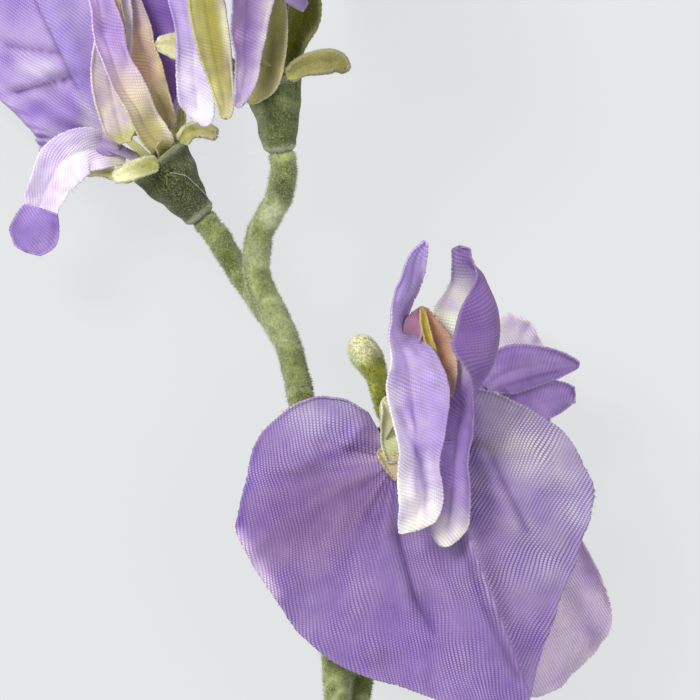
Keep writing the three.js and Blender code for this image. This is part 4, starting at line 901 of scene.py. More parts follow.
LOOKS = {
    "a": {
        "standard": {
            "base": srgb(178, 156, 206), "bias": 58, "curl": -0.3, "crumple": 1.6,
            "creases": [
                [-15.4, 7.2, -7.6, 9.4, -1.1, 0.5], [-16.8, 13.4, -9.5, 12.2, -0.8, 0.6],
                [-15, 10.6, -8.4, 10.8, 0.6, 1.1], [-13, 3, -7, 5.6, 0.6, 1.2],
            ],
            "laps": [
                {
                    "line": [-5.9, 5.4, -13.2, 20.6], "height": 0.7, "reach": 4.5,
                    "dye": srgb(160, 138, 204), "strength": 0.9,
                },
            ],
            "dabs": [
                # Thin deep and violet lines here are painted shade along the creases; the white dabs are
                # painted highlights on the crumpled cloth
                (-19, 20, -19, 17, 2.4, LILAC, 0.45), (-17.6, 8.9, -10.3, 10.9, 0.3, SHADE_VIOLET, 0.85),
                (-19.1, 14.7, -12.3, 13.7, 0.3, VIOLET, 0.8),
                (-15.5, 6.8, -11, 6, 1.5, srgb(146, 116, 192), 0.75),
                (-11, 8.6, -10.6, 4, 1, srgb(150, 122, 196), 0.6), (-17, 12, -14, 12, 1, WHITE, 0.35),
                (-9.4, 8.4, -8.6, 5, 1, WHITE, 0.6), (-8, 10, -7, 6, 1.2, MIST, 0.5),
                (-4, 4, -2, 3, 2.5, BUTTER, 0.7),
            ],
        },
        "strip": {
            "base": srgb(245, 233, 255), "wrinkle": 0.35, "bias": 20, "curl": 0,
            "dabs": [
                (0, 0, 0.13, 2, BUTTER, 0.85), (0.95, 0, 0.13, 3, srgb(156, 130, 196), 0.98),
                (0.86, 0, 0.06, 3, srgb(160, 134, 200), 0.9), (0.2, 0.5, 0.14, 0.5, VIOLET, 0.45),
                (0.55, -0.9, 0.2, 0.35, WHITE, 0.4), (0.45, 0.7, 0.25, 0.4, PALE, 0.4),
            ],
            "extras": [
                (
                    [
                        [-14.8, -5.5, -2.4, 4.3, 0, 0.1], [-15.3, -7.3, -2.6, 5.7, 0, -0.3],
                        [-15.8, -9.1, -2.9, 6, 0, -0.3], [-16.5, -10.8, -3.3, 3.2, 0, -0.1],
                    ],
                    srgb(158, 132, 198),
                ),
            ],
        },
        "wingLeft": {
            "base": srgb(214, 184, 232), "wider": [(0, 1, 0.1), (0.16, 0.3, 0.1), (0.36, -0.16, 0.16)],
            "dabs": [
                (0.34, 0, 0.16, 2, srgb(234, 222, 194), 0.97),
                (0.18, 0, 0.13, 2, srgb(198, 188, 122), 0.95), (0.03, 0, 0.09, 2, srgb(196, 192, 98), 0.95),
                (0.16, 1, 0.2, 0.3, IVORY, 0.6), (0.14, -1, 0.14, 0.3, srgb(176, 174, 60), 0.8),
                (0.85, 0.6, 0.25, 0.6, LILAC, 0.7),
            ],
            "extras": [
                (
                    [
                        [1.5, -0.5, 1.4, 1.2, 0, 0], [1.2, 0.5, 1.6, 2, 10, 0.1],
                        [0.7, 1.7, 1.9, 2.8, 20, 0.2], [0.1, 3, 2.5, 2.8, 25, 0.2],
                    ],
                    srgb(206, 198, 120),
                ),
            ],
        },
        "wingRight": {
            "base": srgb(196, 172, 196),
            "dabs": [
                (0.42, 0, 0.3, 2, srgb(244, 220, 178), 0.95), (0.1, 0, 0.18, 2, srgb(190, 176, 118), 0.9),
                (0.4, 0.3, 0.12, 0.4, srgb(196, 166, 150), 0.6),
                (0.36, 1, 0.3, 0.3, srgb(206, 194, 130), 0.7),
            ],
            "extras": [
                (
                    [
                        [-1.4, 23, -0.9, 3, 0, 0.1], [-0.4, 18.4, -0.9, 4.6, 0, 0.3],
                        [0.4, 14.6, -0.9, 4, 0, 0.3], [1.1, 11.4, -0.8, 3, 0, 0.2],
                        [1, 8.8, -0.6, 2.2, 0, 0.1], [0.2, 6.8, -0.4, 1.7, 0, 0],
                        [-0.5, 5.7, -0.3, 0.5, 0, 0],
                    ],
                    srgb(140, 106, 180),
                ),
            ],
        },
        "keel": {
            "base": srgb(232, 220, 222), "wider": [(0.1, 0.4, 0.1)],
            "dabs": [
                (0.05, 0, 0.09, 2, srgb(210, 208, 140), 0.9), (0.2, 1, 0.22, 0.3, srgb(196, 198, 100), 0.8),
                (0.8, 0.2, 0.3, 0.8, PALE, 0.6),
            ],
            "extras": [
                (
                    [
                        [-5.6, 22, 3.2, 1, 0, 0], [-5.4, 19, 3.3, 1.6, 0, 0.1],
                        [-5, 16.5, 3.3, 1.7, 0, 0.1], [-4.6, 14.4, 3.1, 0.6, 0, 0],
                    ],
                    srgb(216, 200, 160),
                ),
            ],
        },
    },
    "b": {
        "standard": {
            "base": LILAC, "grid": (280, 26),
            "dabs": [(0, 0, 10, 0, 6, BUTTER, 0.7), (20, 0, 30, 0, 8, PALE, 0.5)],
        },
        "strip": {
            "base": srgb(142, 136, 80), "wrinkle": 0.15, "curl": 0.4,
            "dabs": [
                (0.5, -0.9, 0.6, 0.45, srgb(214, 208, 176), 0.9), (0.1, 0, 0.14, 2, LIME, 0.6),
                (0.6, 0.8, 0.5, 0.4, FOREST, 0.45),
            ],
        },
        "wingLeft": {
            "base": srgb(204, 184, 232), "foot": 0.07, "slant": -0.9, "tip": 0.05,
            "dabs": [
                (0.12, 0, 0.25, 2, srgb(238, 233, 244), 0.9), (0.8, 0.5, 0.3, 0.7, LILAC, 0.6),
                (0.5, -0.9, 0.3, 0.3, LILAC, 0.4),
            ],
        },
        "wingRight": {
            "base": srgb(166, 140, 187), "foot": 0.05, "claw": srgb(160, 154, 98),
            "dabs": [
                (0.08, 0, 0.18, 2, srgb(206, 190, 220), 0.9), (0.6, 0.9, 0.4, 0.3, IVORY, 0.5),
                (0.5, 0.1, 0.4, 0.25, SHADE_VIOLET, 0.35),
            ],
        },
        "keel": {
            "base": srgb(176, 167, 86), "foot": 0.03,
            "extras": [
                (
                    [
                        [-2.9, -2.4, 2.6, 0.8, 0, 0], [-2.3, -1.1, 3.2, 2.4, 10, 0.3],
                        [-1.2, 0.6, 3.4, 3.8, 12, 0.5], [-0.7, 3.2, 2.8, 4.1, 15, 0.6],
                        [-0.4, 7, 1.8, 3.9, 15, 0.4], [-0.1, 11, 1, 3.4, 15, 0.1],
                    ],
                    srgb(178, 172, 116),
                    # The dark olive dab is painted shadow inside the skirt
                    [(0.6, 0.25, 0.35, 0.45, srgb(104, 98, 52), 0.9), (0.5, 1, 0.5, 0.2, BUTTER, 0.5)],
                ),
            ],
            "dabs": [
                (0.5, -0.9, 0.6, 0.5, srgb(216, 212, 160), 0.7),
                (0.22, 0.6, 0.06, 0.3, srgb(112, 116, 20), 0.9), (0.08, 0, 0.2, 2, BUTTER, 0.9),
                (0.6, 0.9, 0.5, 0.3, IVORY, 0.7), (0.8, -0.6, 0.3, 0.3, LIME, 0.6),
            ],
        },
    },
    "c": {
        "standard": {
            "base": srgb(144, 119, 174), "bias": 10, "closer": (190, 70, 1.9), "crumple": 0.75,
            "turned_past": ([16.4, -28.4, 8, -6.4], -27), "root": srgb(214, 208, 170),
            "edge": [(188, -0.9, 9), (203, 0.4, 3), (352, 0.7, 5), (338, -0.4, 4)],
            "creases": [
                [0.3, -9, 2.4, -17, -0.55, 0.45], [2.3, -16.5, 5, -21.5, -0.6, 0.5],
                [8.4, -7.6, 12.2, -18, 0.8, 0.6], [12, -17.5, 15.6, -26.4, 0.8, 0.7],
                [11.2, 1.6, 16.2, -8.6, -0.45, 0.5], [-1.6, 0.2, -9.6, 1.6, -1, 1.3],
                [-3, 3.6, -9, 5.4, 0.6, 1.2], [-17, -5, -11, -15, 0.5, 1.2], [-4, 4.6, -6.4, 1.6, 0.5, 0.7],
                [-8, -12, -2, -24, 0.4, 1.4],
            ],
            "dabs": [
                # Painted shade and light among these dabs: the thin deep violet lines are painted shade in
                # the creases and under the top-left fold, (9.6, 1.4) is a painted shadow in a pucker, (10.2,
                # -12) is painted shade beside the right ridge and (9.4, -10) a painted highlight on it, and
                # (-10, 4.2) is painted light on the top-left lobe where it tilts back
                (-11, -8, -6, -4, 6.5, srgb(126, 95, 142), 0.8),
                (-17, 0.8, -18.2, -4, 0.9, srgb(112, 80, 166), 0.75),
                (-18.2, -4, -19, -8.4, 0.9, srgb(112, 80, 166), 0.75),
                (-17.6, -2, -17.4, -3, 2.2, LILAC, 0.5),
                (-10, 4.2, -7.5, 4.8, 4, srgb(166, 149, 192), 0.95),
                (-5.6, -0.6, -3, 0, 2.6, srgb(168, 142, 192), 0.7),
                (-2, -23.5, 3, -24, 6, srgb(138, 109, 174), 0.8),
                (20.7, -2.2, 17, 1, 6, srgb(180, 166, 192), 0.95),
                (18.3, -10.9, 17.5, -13, 5.5, srgb(162, 144, 184), 0.8),
                (23.8, -7.1, 23.4, -4, 2.4, srgb(180, 169, 202), 0.8),
                (4.7, -15.8, 4.7, -12, 4, srgb(146, 120, 172), 0.7), (0.7, -10, 2.8, -18, 0.35, SHADE_VIOLET, 0.75),
                (2.8, -18, 5.2, -22.2, 0.4, SHADE_VIOLET, 0.7), (7.8, -9, 11.4, -19.3, 0.4, SHADE_VIOLET, 0.5),
                (11.4, -19.3, 15.4, -27.6, 0.45, SHADE_VIOLET, 0.5),
                (9.4, -10, 12.4, -18.5, 0.6, srgb(186, 162, 212), 0.6),
                (10.2, -12, 13.4, -20, 1.2, srgb(134, 112, 152), 0.45),
                (9.6, 1.4, 12.4, 0.6, 0.9, srgb(104, 84, 112), 0.6),
                (11.6, 0.6, 16.6, -9.6, 0.4, SHADE_VIOLET, 0.55), (14, 4, 12, 8, 4, srgb(190, 177, 200), 0.8),
                (-19, -10.4, -14.6, -17.4, 0.9, srgb(214, 192, 222), 0.7),
                (-3.4, 1.2, -7.9, -0.5, 0.7, SHADE_VIOLET, 0.5), (-7.9, -0.5, -10.4, -1.5, 0.8, SHADE_VIOLET, 0.3),
            ],
        },
        "wingLeft": {
            "base": srgb(206, 184, 232), "wrinkle": 0.25, "curl": 0.3, "tip": 0.16, "foot": 0.012,
            "folds": [
                (0.34, -0.7, 0.2, 0.25, -0.9, 0.6), (0.2, 0.25, 0.08, 0.45, -0.8, 0.6),
                (0.3, -0.2, 0.1, -0.3, 0.5, 0.8), (0.5, 0.2, 0.38, 0.75, 0.5, 0.7),
            ],
            "slant": 0.9, "claw": srgb(222, 220, 190),
            "extras": [
                (
                    [
                        [-0.5, 6.5, 6.4, 2, -10, 0], [-0.35, 4.8, 6.4, 2.2, -10, 0.1],
                        [-0.1, 2.9, 6.7, 2.7, -5, 0.1], [0.2, 0.9, 6.4, 3, 0, 0.1],
                        [0.7, -1.2, 5.9, 2.4, 0, 0],
                    ],
                    srgb(218, 220, 176),
                ),
                (
                    [
                        [-1.8, 0.2, 5.2, 0.4, 0, 0], [-0.8, -0.5, 5.6, 1.6, 10, 0.1],
                        [0.4, -1.6, 5.8, 2.6, 10, 0.1], [1.4, -2.8, 5.8, 2.6, 0, 0],
                    ],
                    srgb(214, 196, 150),
                ),
            ],
            "dabs": [
                # Painted light and shade among these dabs: the white ones at v = -1 are painted highlight on
                # the curled left edge, the streak is painted shade along the fold, and (0.72, 0.8) is
                # painted shade on the far half of the upper lobe
                CREAM_ROOT, (0.06, 0, 0.1, 3, srgb(245, 242, 238), 0.9),
                (0.22, -1, 0.28, 0.48, WHITE, 0.92),
                *((t, v, 0.04, 0.1, srgb(166, 138, 208), 0.6) for t, v in FOLD_SHADE_STREAK),
                (0.45, -1, 0.2, 0.3, WHITE, 0.5), (0.86, -0.3, 0.2, 1.2, srgb(172, 150, 204), 0.9),
                (0.72, 0.8, 0.16, 0.5, srgb(146, 118, 176), 0.8), (0.3, 1, 0.3, 0.3, LILAC, 0.5),
                (0.25, 0.3, 0.25, 0.16, PALE, 0.5),
            ],
        },
        "wingRight": {
            "base": srgb(132, 101, 162), "wrinkle": 0.18, "tip": 0.03, "foot": 0.1,
            "roll": {"start": -0.15, "end": 0.75, "turns": [0, 0, 0, 4, 16, 60, 115, 112, 95, 40, 0]},
            "dabs": [
                # (0.27, 0) and (0.33, -0.35) are painted light: paler, to lift the inner face out of the
                # other wing's shade; the deep violet lines at the edges are painted shade
                CREAM_ROOT, (0.03, 0, 0.1, 3, srgb(235, 230, 222), 0.9),
                (0.66, -0.75, 0.19, 0.62, srgb(242, 242, 230), 0.98),
                (0.5, -0.95, 0.14, 0.4, srgb(206, 196, 208), 0.8),
                (0.68, -0.1, 0.15, 0.22, srgb(172, 150, 190), 0.6),
                (0.27, 0, 0.17, 1.2, srgb(174, 143, 210), 0.9),
                (0.33, -0.35, 0.14, 0.45, srgb(196, 168, 228), 0.8), (0.09, -1, 0.13, 0.4, SHADE_VIOLET, 0.8),
                (0.3, 0.9, 0.3, 0.2, SHADE_VIOLET, 0.35), (0.95, 0, 0.1, 2, srgb(150, 122, 178), 0.7),
            ],
        },
        "keel": {
            "base": srgb(224, 176, 140),
            "dabs": [
                (0.85, -0.6, 0.25, 0.8, PINK, 0.7), (0.3, 0.6, 0.1, 0.6, srgb(186, 132, 158), 0.4),
                (0.5, 0.95, 0.35, 0.3, srgb(222, 196, 176), 0.8), (0.05, 0, 0.15, 3, IVORY, 0.8),
            ],
            "extras": [
                (
                    [
                        [3.7, 17.9, 9.3, 0.4, 0, 0], [3.9, 16.2, 9.3, 0.9, 0, 0.1],
                        [4.4, 14, 9.1, 1, -5, 0.2], [5.1, 11.8, 8.8, 0.9, -10, 0.2],
                        [5.6, 9.6, 8.4, 0.5, -10, 0],
                    ],
                    srgb(212, 190, 88),
                ),
                (
                    [
                        [3.5, 17.7, 9.2, 0.5, 0, 0], [2.7, 16, 9.3, 2, 10, 0.2],
                        [2.6, 14.6, 9, 2.2, 10, 0.3], [2.6, 13.2, 8, 1, 10, 0.1],
                    ],
                    srgb(200, 150, 180),
                ),
            ],
        },
    },
    "d": {
        "standard": {
            "base": srgb(222, 205, 228), "bias": 30, "grid": (300, 30),
            "edge": [(0, -2.2, 16), (-48.5, -2.4, 4), (-57.5, 1.3, 4)],
            "dabs": [
                (5.2, 11.8, 3, 12, 4, srgb(220, 212, 218), 0.9), (7, -8, 9, -14, 4, LILAC, 0.4),
                (14, -20, 13, -27, 3, srgb(222, 204, 232), 0.6),
            ],
        },
        "wingLeft": {
            "base": srgb(162, 133, 194), "foot": 0.1, "tip": 0.01,
            "dabs": [
                (0.3, 0.9, 0.5, 0.4, LILAC, 0.4), (0.55, 0.5, 0.4, 0.12, SHADE_VIOLET, 0.7),
                (0.8, -0.3, 0.2, 0.4, PALE, 0.4),
            ],
            "extras": [
                (
                    [
                        [-0.4, 3.4, 2.2, 2, -10, 0], [1, 4.3, 2, 3, -10, 0.1],
                        [2.4, 5.1, 1.7, 2.8, -10, 0.1], [3.6, 5.8, 1.4, 1.4, -10, 0],
                    ],
                    srgb(158, 128, 190),
                ),
            ],
        },
        "wingRight": {
            "base": srgb(206, 177, 234), "foot": 0.1, "tip": 0.01,
            "dabs": [(0.5, -0.7, 0.5, 0.2, SHADE_VIOLET, 0.3), (0.8, 0.6, 0.2, 0.4, PALE, 0.5)],
        },
        "keel": {"base": BUTTER, "dabs": [(0.9, 0, 0.3, 2, PALE, 0.6)]},
    },
}


# Materials


class Nodes:
    """A material's node tree, with short calls to add to it."""

    def __init__(self, name):
        self.material = bpy.data.materials.new(name)
        self.material.use_nodes = True
        self.tree = self.material.node_tree
        self.tree.nodes.clear()

    def add(self, kind, inputs=None, **settings):
        node = self.tree.nodes.new(kind)
        for key, value in settings.items():
            setattr(node, key, value)
        for key, value in (inputs or {}).items():
            if isinstance(value, bpy.types.NodeSocket):
                self.tree.links.new(value, node.inputs[key])
            else:
                node.inputs[key].default_value = value
        return node

    def math(self, operation, *values, clamp=False):
        node = self.add("ShaderNodeMath", dict(enumerate(values)), operation=operation, use_clamp=clamp)
        return node.outputs[0]

    def vector(self, operation, first, second):
        """Sums on places or colours."""
        return self.add("ShaderNodeVectorMath", {0: first, 1: second}, operation=operation).outputs[0]

    def scaled(self, vector, factor):
        """A place or a colour times a number."""
        return self.add("ShaderNodeVectorMath", {0: vector, "Scale": factor}, operation="SCALE").outputs[0]

    def noise(self, vector, scale, detail=2.0, roughness=0.5):
        settings = {"Vector": vector, "Scale": scale, "Detail": detail, "Roughness": roughness}
        return self.add("ShaderNodeTexNoise", settings).outputs["Fac"]

    def finish(self, shader):
        self.add("ShaderNodeOutputMaterial", {"Surface": shader})
        return self.material


def moved_by(n, place, scale, amount):
    """A place on the cloth, moved about a little so that its threads wander."""
    warp = n.add("ShaderNodeTexNoise", {"Vector": place, "Scale": scale, "Detail": 2.0})
    shift = n.scaled(n.vector("SUBTRACT", warp.outputs["Color"], (0.5, 0.5, 0.5)), amount)
    return n.vector("ADD", place, shift)


def cloth_material(name, through=0.28, weave=1.0, finer=1.0):
    """Ribbed cloth: pale ribs with dark gaps and stitches along them, dye from the mesh."""
    n = Nodes(name)
    flat = n.add("ShaderNodeUVMap", uv_map="flat").outputs[0]
    threads = moved_by(n, moved_by(n, flat, 0.08, 3.0), 0.35, 0.2)
    across = n.add("ShaderNodeSeparateXYZ", {0: threads})
    rib_wave = n.math("SINE", n.math("MULTIPLY", across.outputs[0], math.pi / RIB_PITCH / finer))
    stitch_wave = n.math("SINE", n.math("MULTIPLY", across.outputs[1], 2 * math.pi / STITCH_PITCH / finer))
    rib = n.math("ABSOLUTE", rib_wave)
    stitch = n.math("MULTIPLY", rib_wave, stitch_wave)
    worn = n.noise(flat, 0.15, 3.0)
    strength = n.math("MULTIPLY_ADD", worn, 2.4, -0.62, clamp=True)
    slub = n.noise(flat, 2.6, 4.0, 0.7)
    woven = n.math("MULTIPLY_ADD", rib, 0.85 * weave, -0.55 * weave)
    woven = n.math("MULTIPLY_ADD", stitch, 0.42 * weave, woven)
    woven = n.math("MULTIPLY", woven, strength)
    tone = n.math("MULTIPLY_ADD", slub, 0.24, 0.9)
    tones = [n.math("MULTIPLY_ADD", woven, share, tone) for share in (1.0, 1.15, 0.8)]
    tone = n.add("ShaderNodeCombineXYZ", dict(enumerate(tones))).outputs[0]
    dye = n.add("ShaderNodeVertexColor", layer_name="dye").outputs["Color"]
    colour = n.vector("MULTIPLY", dye, tone)
    height = n.math("MULTIPLY_ADD", slub, 0.5, n.math("MULTIPLY", rib, strength))
    bump = n.add("ShaderNodeBump", {"Strength": 0.55, "Distance": 0.00009, "Height": height}).outputs[0]
    skin = n.add(
        "ShaderNodeBsdfPrincipled",
        {
            "Base Color": colour, "Roughness": 0.72, "Specular IOR Level": 0.25, "Normal": bump,
            "Sheen Weight": 0.22, "Sheen Roughness": 0.45, "Sheen Tint": (0.93, 0.88, 1.0, 1.0),
        },
    )
    light = n.add("ShaderNodeBsdfTranslucent", {"Color": colour, "Normal": bump})
    both = n.add("ShaderNodeMixShader", {0: through, 1: skin.outputs[0], 2: light.outputs[0]})
    return n.finish(both.outputs[0])


def flock_material(name, speckle, sheen, frosted, pale=PALE_FLOCK):
    """Flock: a fine felted nap in the mesh's own colours, pale where light grazes it."""
    n = Nodes(name)
    place = n.add("ShaderNodeTexCoord").outputs["Object"]
    fine = n.noise(place, 2600.0, 3.0, 0.7)
    broad = n.noise(place, 420.0, 3.0)
    dye = n.add("ShaderNodeVertexColor", layer_name="dye").outputs["Color"]
    tone = n.math("MULTIPLY_ADD", fine, speckle * 2, 1 - speckle)
    dots = n.math("MULTIPLY_ADD", n.noise(place, 4800.0, 2.0, 0.6), 6.0, -2.8, clamp=True)
    patchy = n.math("MULTIPLY_ADD", n.noise(place, 520.0, 2.0), 2.4, -0.4, clamp=True)
    dots = n.math("MULTIPLY", n.math("MULTIPLY", dots, patchy), frosted)
    tone = n.math("MULTIPLY", tone, n.math("MULTIPLY_ADD", broad, 0.6, 0.7))
    mixed = n.add("ShaderNodeMix", {0: dots, 6: n.scaled(dye, tone), 7: pale}, data_type="RGBA").outputs[2]
    bump = n.add("ShaderNodeBump", {"Strength": 0.7, "Distance": 0.0001, "Height": fine}).outputs[0]
    skin = n.add(
        "ShaderNodeBsdfPrincipled",
        {
            "Base Color": mixed, "Roughness": 0.95, "Specular IOR Level": 0.1, "Normal": bump,
            "Sheen Weight": sheen, "Sheen Roughness": 0.5, "Sheen Tint": (0.95, 1.0, 0.88, 1.0),
        },
    )
    return n.finish(skin.outputs[0])


def wire_material():
    """Drawn steel wire: fine lines along it and a few dull spots."""
    n = Nodes("drawn_wire")
    place = n.add("ShaderNodeTexCoord").outputs["Object"]
    long = n.add("ShaderNodeMapping", {"Vector": place, "Scale": (9000.0, 300.0, 9000.0)}).outputs[0]
    lines = n.noise(long, 1.0, 2.0)
    dull = n.noise(place, 900.0, 3.0)
    steel = {0: dull, 6: (0.33, 0.32, 0.3, 1), 7: (0.52, 0.52, 0.51, 1)}
    ramp = n.add("ShaderNodeMix", steel, data_type="RGBA")
    rough = n.math("MULTIPLY_ADD", dull, 0.3, 0.2)
    bump = n.add("ShaderNodeBump", {"Strength": 0.3, "Distance": 0.00003, "Height": lines}).outputs[0]
    skin = n.add(
        "ShaderNodeBsdfPrincipled",
        {"Base Color": ramp.outputs[2], "Metallic": 1.0, "Roughness": rough, "Normal": bump},
    )
    return n.finish(skin.outputs[0])


def floor_material():
    """A pale table top that glows a little, so that the shadows on it stay faint."""
    n = Nodes("pale_floor")
    place = n.add("ShaderNodeTexCoord").outputs["Object"]
    tone = n.math("MULTIPLY_ADD", n.noise(place, 30.0, 3.0), 0.01, 0.985)
    colour = n.scaled((0.085, 0.087, 0.09), tone)
    skin = n.add(
        "ShaderNodeBsdfPrincipled",
        {
            "Base Color": colour, "Roughness": 0.9, "Specular IOR Level": 0.1,
            "Emission Color": (0.98, 0.99, 1.0, 1.0), "Emission Strength": 0.68,
        },
    )
    return n.finish(skin.outputs[0])


# Flocked parts


def shades(seed, points, *colours):
    """A mottled mix of colours over points."""
    x, y, z = points[..., 0], points[..., 1], points[..., 2]
    share = 0.5 + 0.5 * ripple(x + z, y - z * 0.6, 2.6, seed)
    share = np.clip(share, 0, 1)[..., None] * (len(colours) - 1)
    low = np.clip(np.floor(share), 0, len(colours) - 2).astype(int)
    table = np.array(colours)
    part = share - low
    return blend(table[low[..., 0]], table[low[..., 0] + 1], part)


def cup_shape(bloom, seed, lit, tone):
    """A flocked cup: a soft lip at the foot, its flare, and a rim that wraps the sepals' roots."""
    shape = Shape()
    top = CUP_LENGTH + RIM_HEIGHT
    share = np.linspace(0, 1, 60)
    height = share * top
    flare = smoothstep(height / CUP_LENGTH, -0.25, 1.2)
    radius = CUP_FOOT + (bloom["mouth"] + 0.16 - CUP_FOOT) * flare
    radius = radius + 0.14 * bell((height - 0.6) / 0.4) - 0.4 * np.exp(-height / 0.3)
    radius = radius - 0.4 * smoothstep(height, top - 0.7, top + 0.1) ** 2
    angle = round_about(CUP_SIDES)
    ribs = 0.12 * np.cos(5 * angle + seed) * smoothstep(share, 0.25, 1)[:, None]
    ribs = ribs + 0.13 * ripple(height[:, None], np.cos(angle)[None, :] * 3, 2.6, seed)
    ribs = ribs + 0.1 * ripple(height[:, None], np.sin(angle)[None, :] * 3, 1.8, seed + 1)
    outside = radius[:, None] + ribs
    socket, inside = PEG_RADIUS + GAP, bloom["mouth"] - CUP_WALL
    rim_inside = bloom["mouth"] - 0.3
    flat = np.ones(CUP_SIDES)
    rings = [(0.02 * flat, PEG_LENGTH + GAP), (socket * flat, PEG_LENGTH + GAP), (socket * flat, 0)]
    rings += [(1.4 * flat, -0.1)]
    rings += [(outside[i], height[i]) for i in range(len(share))]
    rings += [
        (rim_inside * flat, top - 0.15), (rim_inside * flat, CUP_LENGTH), (inside * flat, CUP_LENGTH),
        ((inside - 0.25) * flat, CUP_LENGTH - RECESS / 2), ((inside - 0.5) * flat, CUP_LENGTH - RECESS),
        (0.02 * flat, CUP_LENGTH - RECESS),
    ]
    points = np.array([np.stack((r * np.cos(angle), h * flat, r * np.sin(angle)), axis=1) for r, h in rings])
    wavy = 0.3 * smoothstep(height, top - 3, top)[:, None] * ripple(angle * 4, 0, 5, seed + 2)
    points[4:4 + len(share), :, 1] += wavy
    points = in_cup(cup_frame(bloom), points)
    mottled = shades(seed, points, *CUP_SHADES) * tone
    # Painted light: the cup's left side is blended toward a paler green, as if lit from the left
    across = points[..., 0] - points[..., 0].mean(axis=1, keepdims=True)
    left = lit * smoothstep(-across, 0.8, 3.2)[..., None]
    mottled = blend(mottled, LIT_CUP, left)
    up_cup = np.array([h for _, h in rings])[:, None, None]
    frosted = 0.45 * bell((up_cup - 0.35) / 0.4) + 0.25 * smoothstep(up_cup, CUP_LENGTH - 0.4, top)
    mottled = blend(mottled, FROST, frosted)
    faces = grid_faces(len(rings), CUP_SIDES, closed=True)[:, ::-1]
    shape.add(points, mottled.reshape(-1, 3), (0, 0), faces)
    return shape


def sepal_rows(bloom, sepal, steps, cells):
    """One sepal in the cup's frame. It leans out from the rim, and curls as it goes."""
    root, mouth = sepal.get("lean", 12), bloom["mouth"]
    out, up = mouth - 0.5, CUP_LENGTH + GAP + 0.2
    turn = math.pi / 2 - math.radians(sepal["side"])
    v = np.linspace(-1, 1, cells + 1)
    rows = []
    for i in range(steps + 1):
        t = i / steps
        lean = math.radians(root + (sepal["curl"] - root) * t**0.9)
        half = sepal["width"] / 2 * (0.82 + 0.5 * t - 1.05 * t**4)
        lift = v**2 * 0.22 * half
        r, h = out - lift * math.cos(lean), up + lift * math.sin(lean)
        x, z = v * half, r
        turned_x = x * math.cos(turn) + z * math.sin(turn)
        rows.append(np.stack((turned_x, h, z * math.cos(turn) - x * math.sin(turn)), 1))
        out += math.sin(lean) * sepal["length"] / steps
        up += math.cos(lean) * sepal["length"] / steps
    return in_cup(cup_frame(bloom), np.array(rows))


def sepal_dyes(points, seed, tip_colour):
    """Sepals are olive at the root, lime along, and pale and fuzzy at the tip and the edges."""
    t = np.linspace(0, 1, points.shape[0])[:, None, None]
    v = np.linspace(-1, 1, points.shape[1])[None, :, None]
    dark = tip_colour.sum() < DARK_SEPAL
    colour = shades(seed, points, SEPAL_ROOT, LIME, SEPAL_ROOT)
    toward = smoothstep(t, -0.2, 0.3) if dark else smoothstep(t, 0.25, 0.95)
    colour = blend(colour, tip_colour, toward)
    edge = smoothstep(np.abs(v), 0.55, 1) * (0.12 if dark else 0.45)
    return blend(colour, FROST, edge)


def sepals_shape(key, bloom, seed):
    shape = Shape()
    angle = round_about(RING_SIDES)
    inner, outer = bloom["mouth"] - CUP_WALL, bloom["mouth"] - 0.4
    base = CUP_LENGTH + GAP
    profile = [(inner, base), (outer, base), (outer, base + 0.3), (outer, base + 0.6), (inner, base + 0.6)]
    profile.append(profile[0])
    wave = 1 + 0.02 * np.cos(angle * 5 + seed)
    wavy = [(r * wave * np.cos(angle), 0 * angle + h, r * wave * np.sin(angle)) for r, h in profile]
    ring = in_cup(cup_frame(bloom), np.array([np.stack(row, 1) for row in wavy]))
    dyes = shades(seed, ring, CUP_SHADES[1], SEPAL_ROOT).reshape(-1, 3)
    shape.add(ring, dyes, (0, 0), grid_faces(len(profile), RING_SIDES, True)[:, ::-1])
    tips = SEPAL_TIPS[key]
    number = 0
    for sepal in bloom["sepals"]:
        points = sepal_rows(bloom, sepal, *SEPAL_GRID)
        bumps = ripple(points[..., 0], points[..., 1], 1.8, seed + number)[..., None] * 0.1
        flats = np.zeros((*points.shape[:2], 2))
        sheet(shape, points + bumps * UP, flats, sepal_dyes(points, seed, tips[number]), FELT)
        number += 1
    for stations in bloom.get("freeSepals", []):
        look = {"base": LIME, "dabs": [], "wrinkle": 0.12, "curl": 0.12, "vein": 0.15, "foot": 0.12}
        one = Shape()
        points, _ = strip_sheet(one, stations, bloom["seat"], seed + number, look, *FREE_SEPAL_GRID, FELT)
        dyes = sepal_dyes(points, seed, tips[number])
        both = np.concatenate((dyes.reshape(-1, 3), dyes.reshape(-1, 3)))
        shape.add(one.points[0], both, (0, 0), one.faces)
        number += 1
    sprout(shape, seed + 9, 20, 0.3, width=0.06, lean=0.9, tip=SEPAL_FUZZ, dark=2.2)
    return shape


# Stem

BUD = [
    [4, -6.9, 14.8, 1.2], [3.7, -5.4, 17.2, 1.25], [3.2, -3.2, 19, 1.4],
    [2.1, -1, 20.2, 1.95], [1.1, 0.5, 20.9, 1.65], [0.4, 1.2, 21.3, 0.7],
]


def into_cup(bloom, radius):
    """A stem's last stations before a cup: its shoulder under the cup's foot."""
    return [[*in_cup(cup_frame(bloom), [0, h, 0]), radius] for h in (-GAP - 2.2, -0.14)]


def bud_line(ways, radius):
    ahead = unit(np.subtract(BUD[1], BUD[0])[:3])
    return [[*(np.array(BUD[0][:3]) + ahead * way), radius] for way in ways]


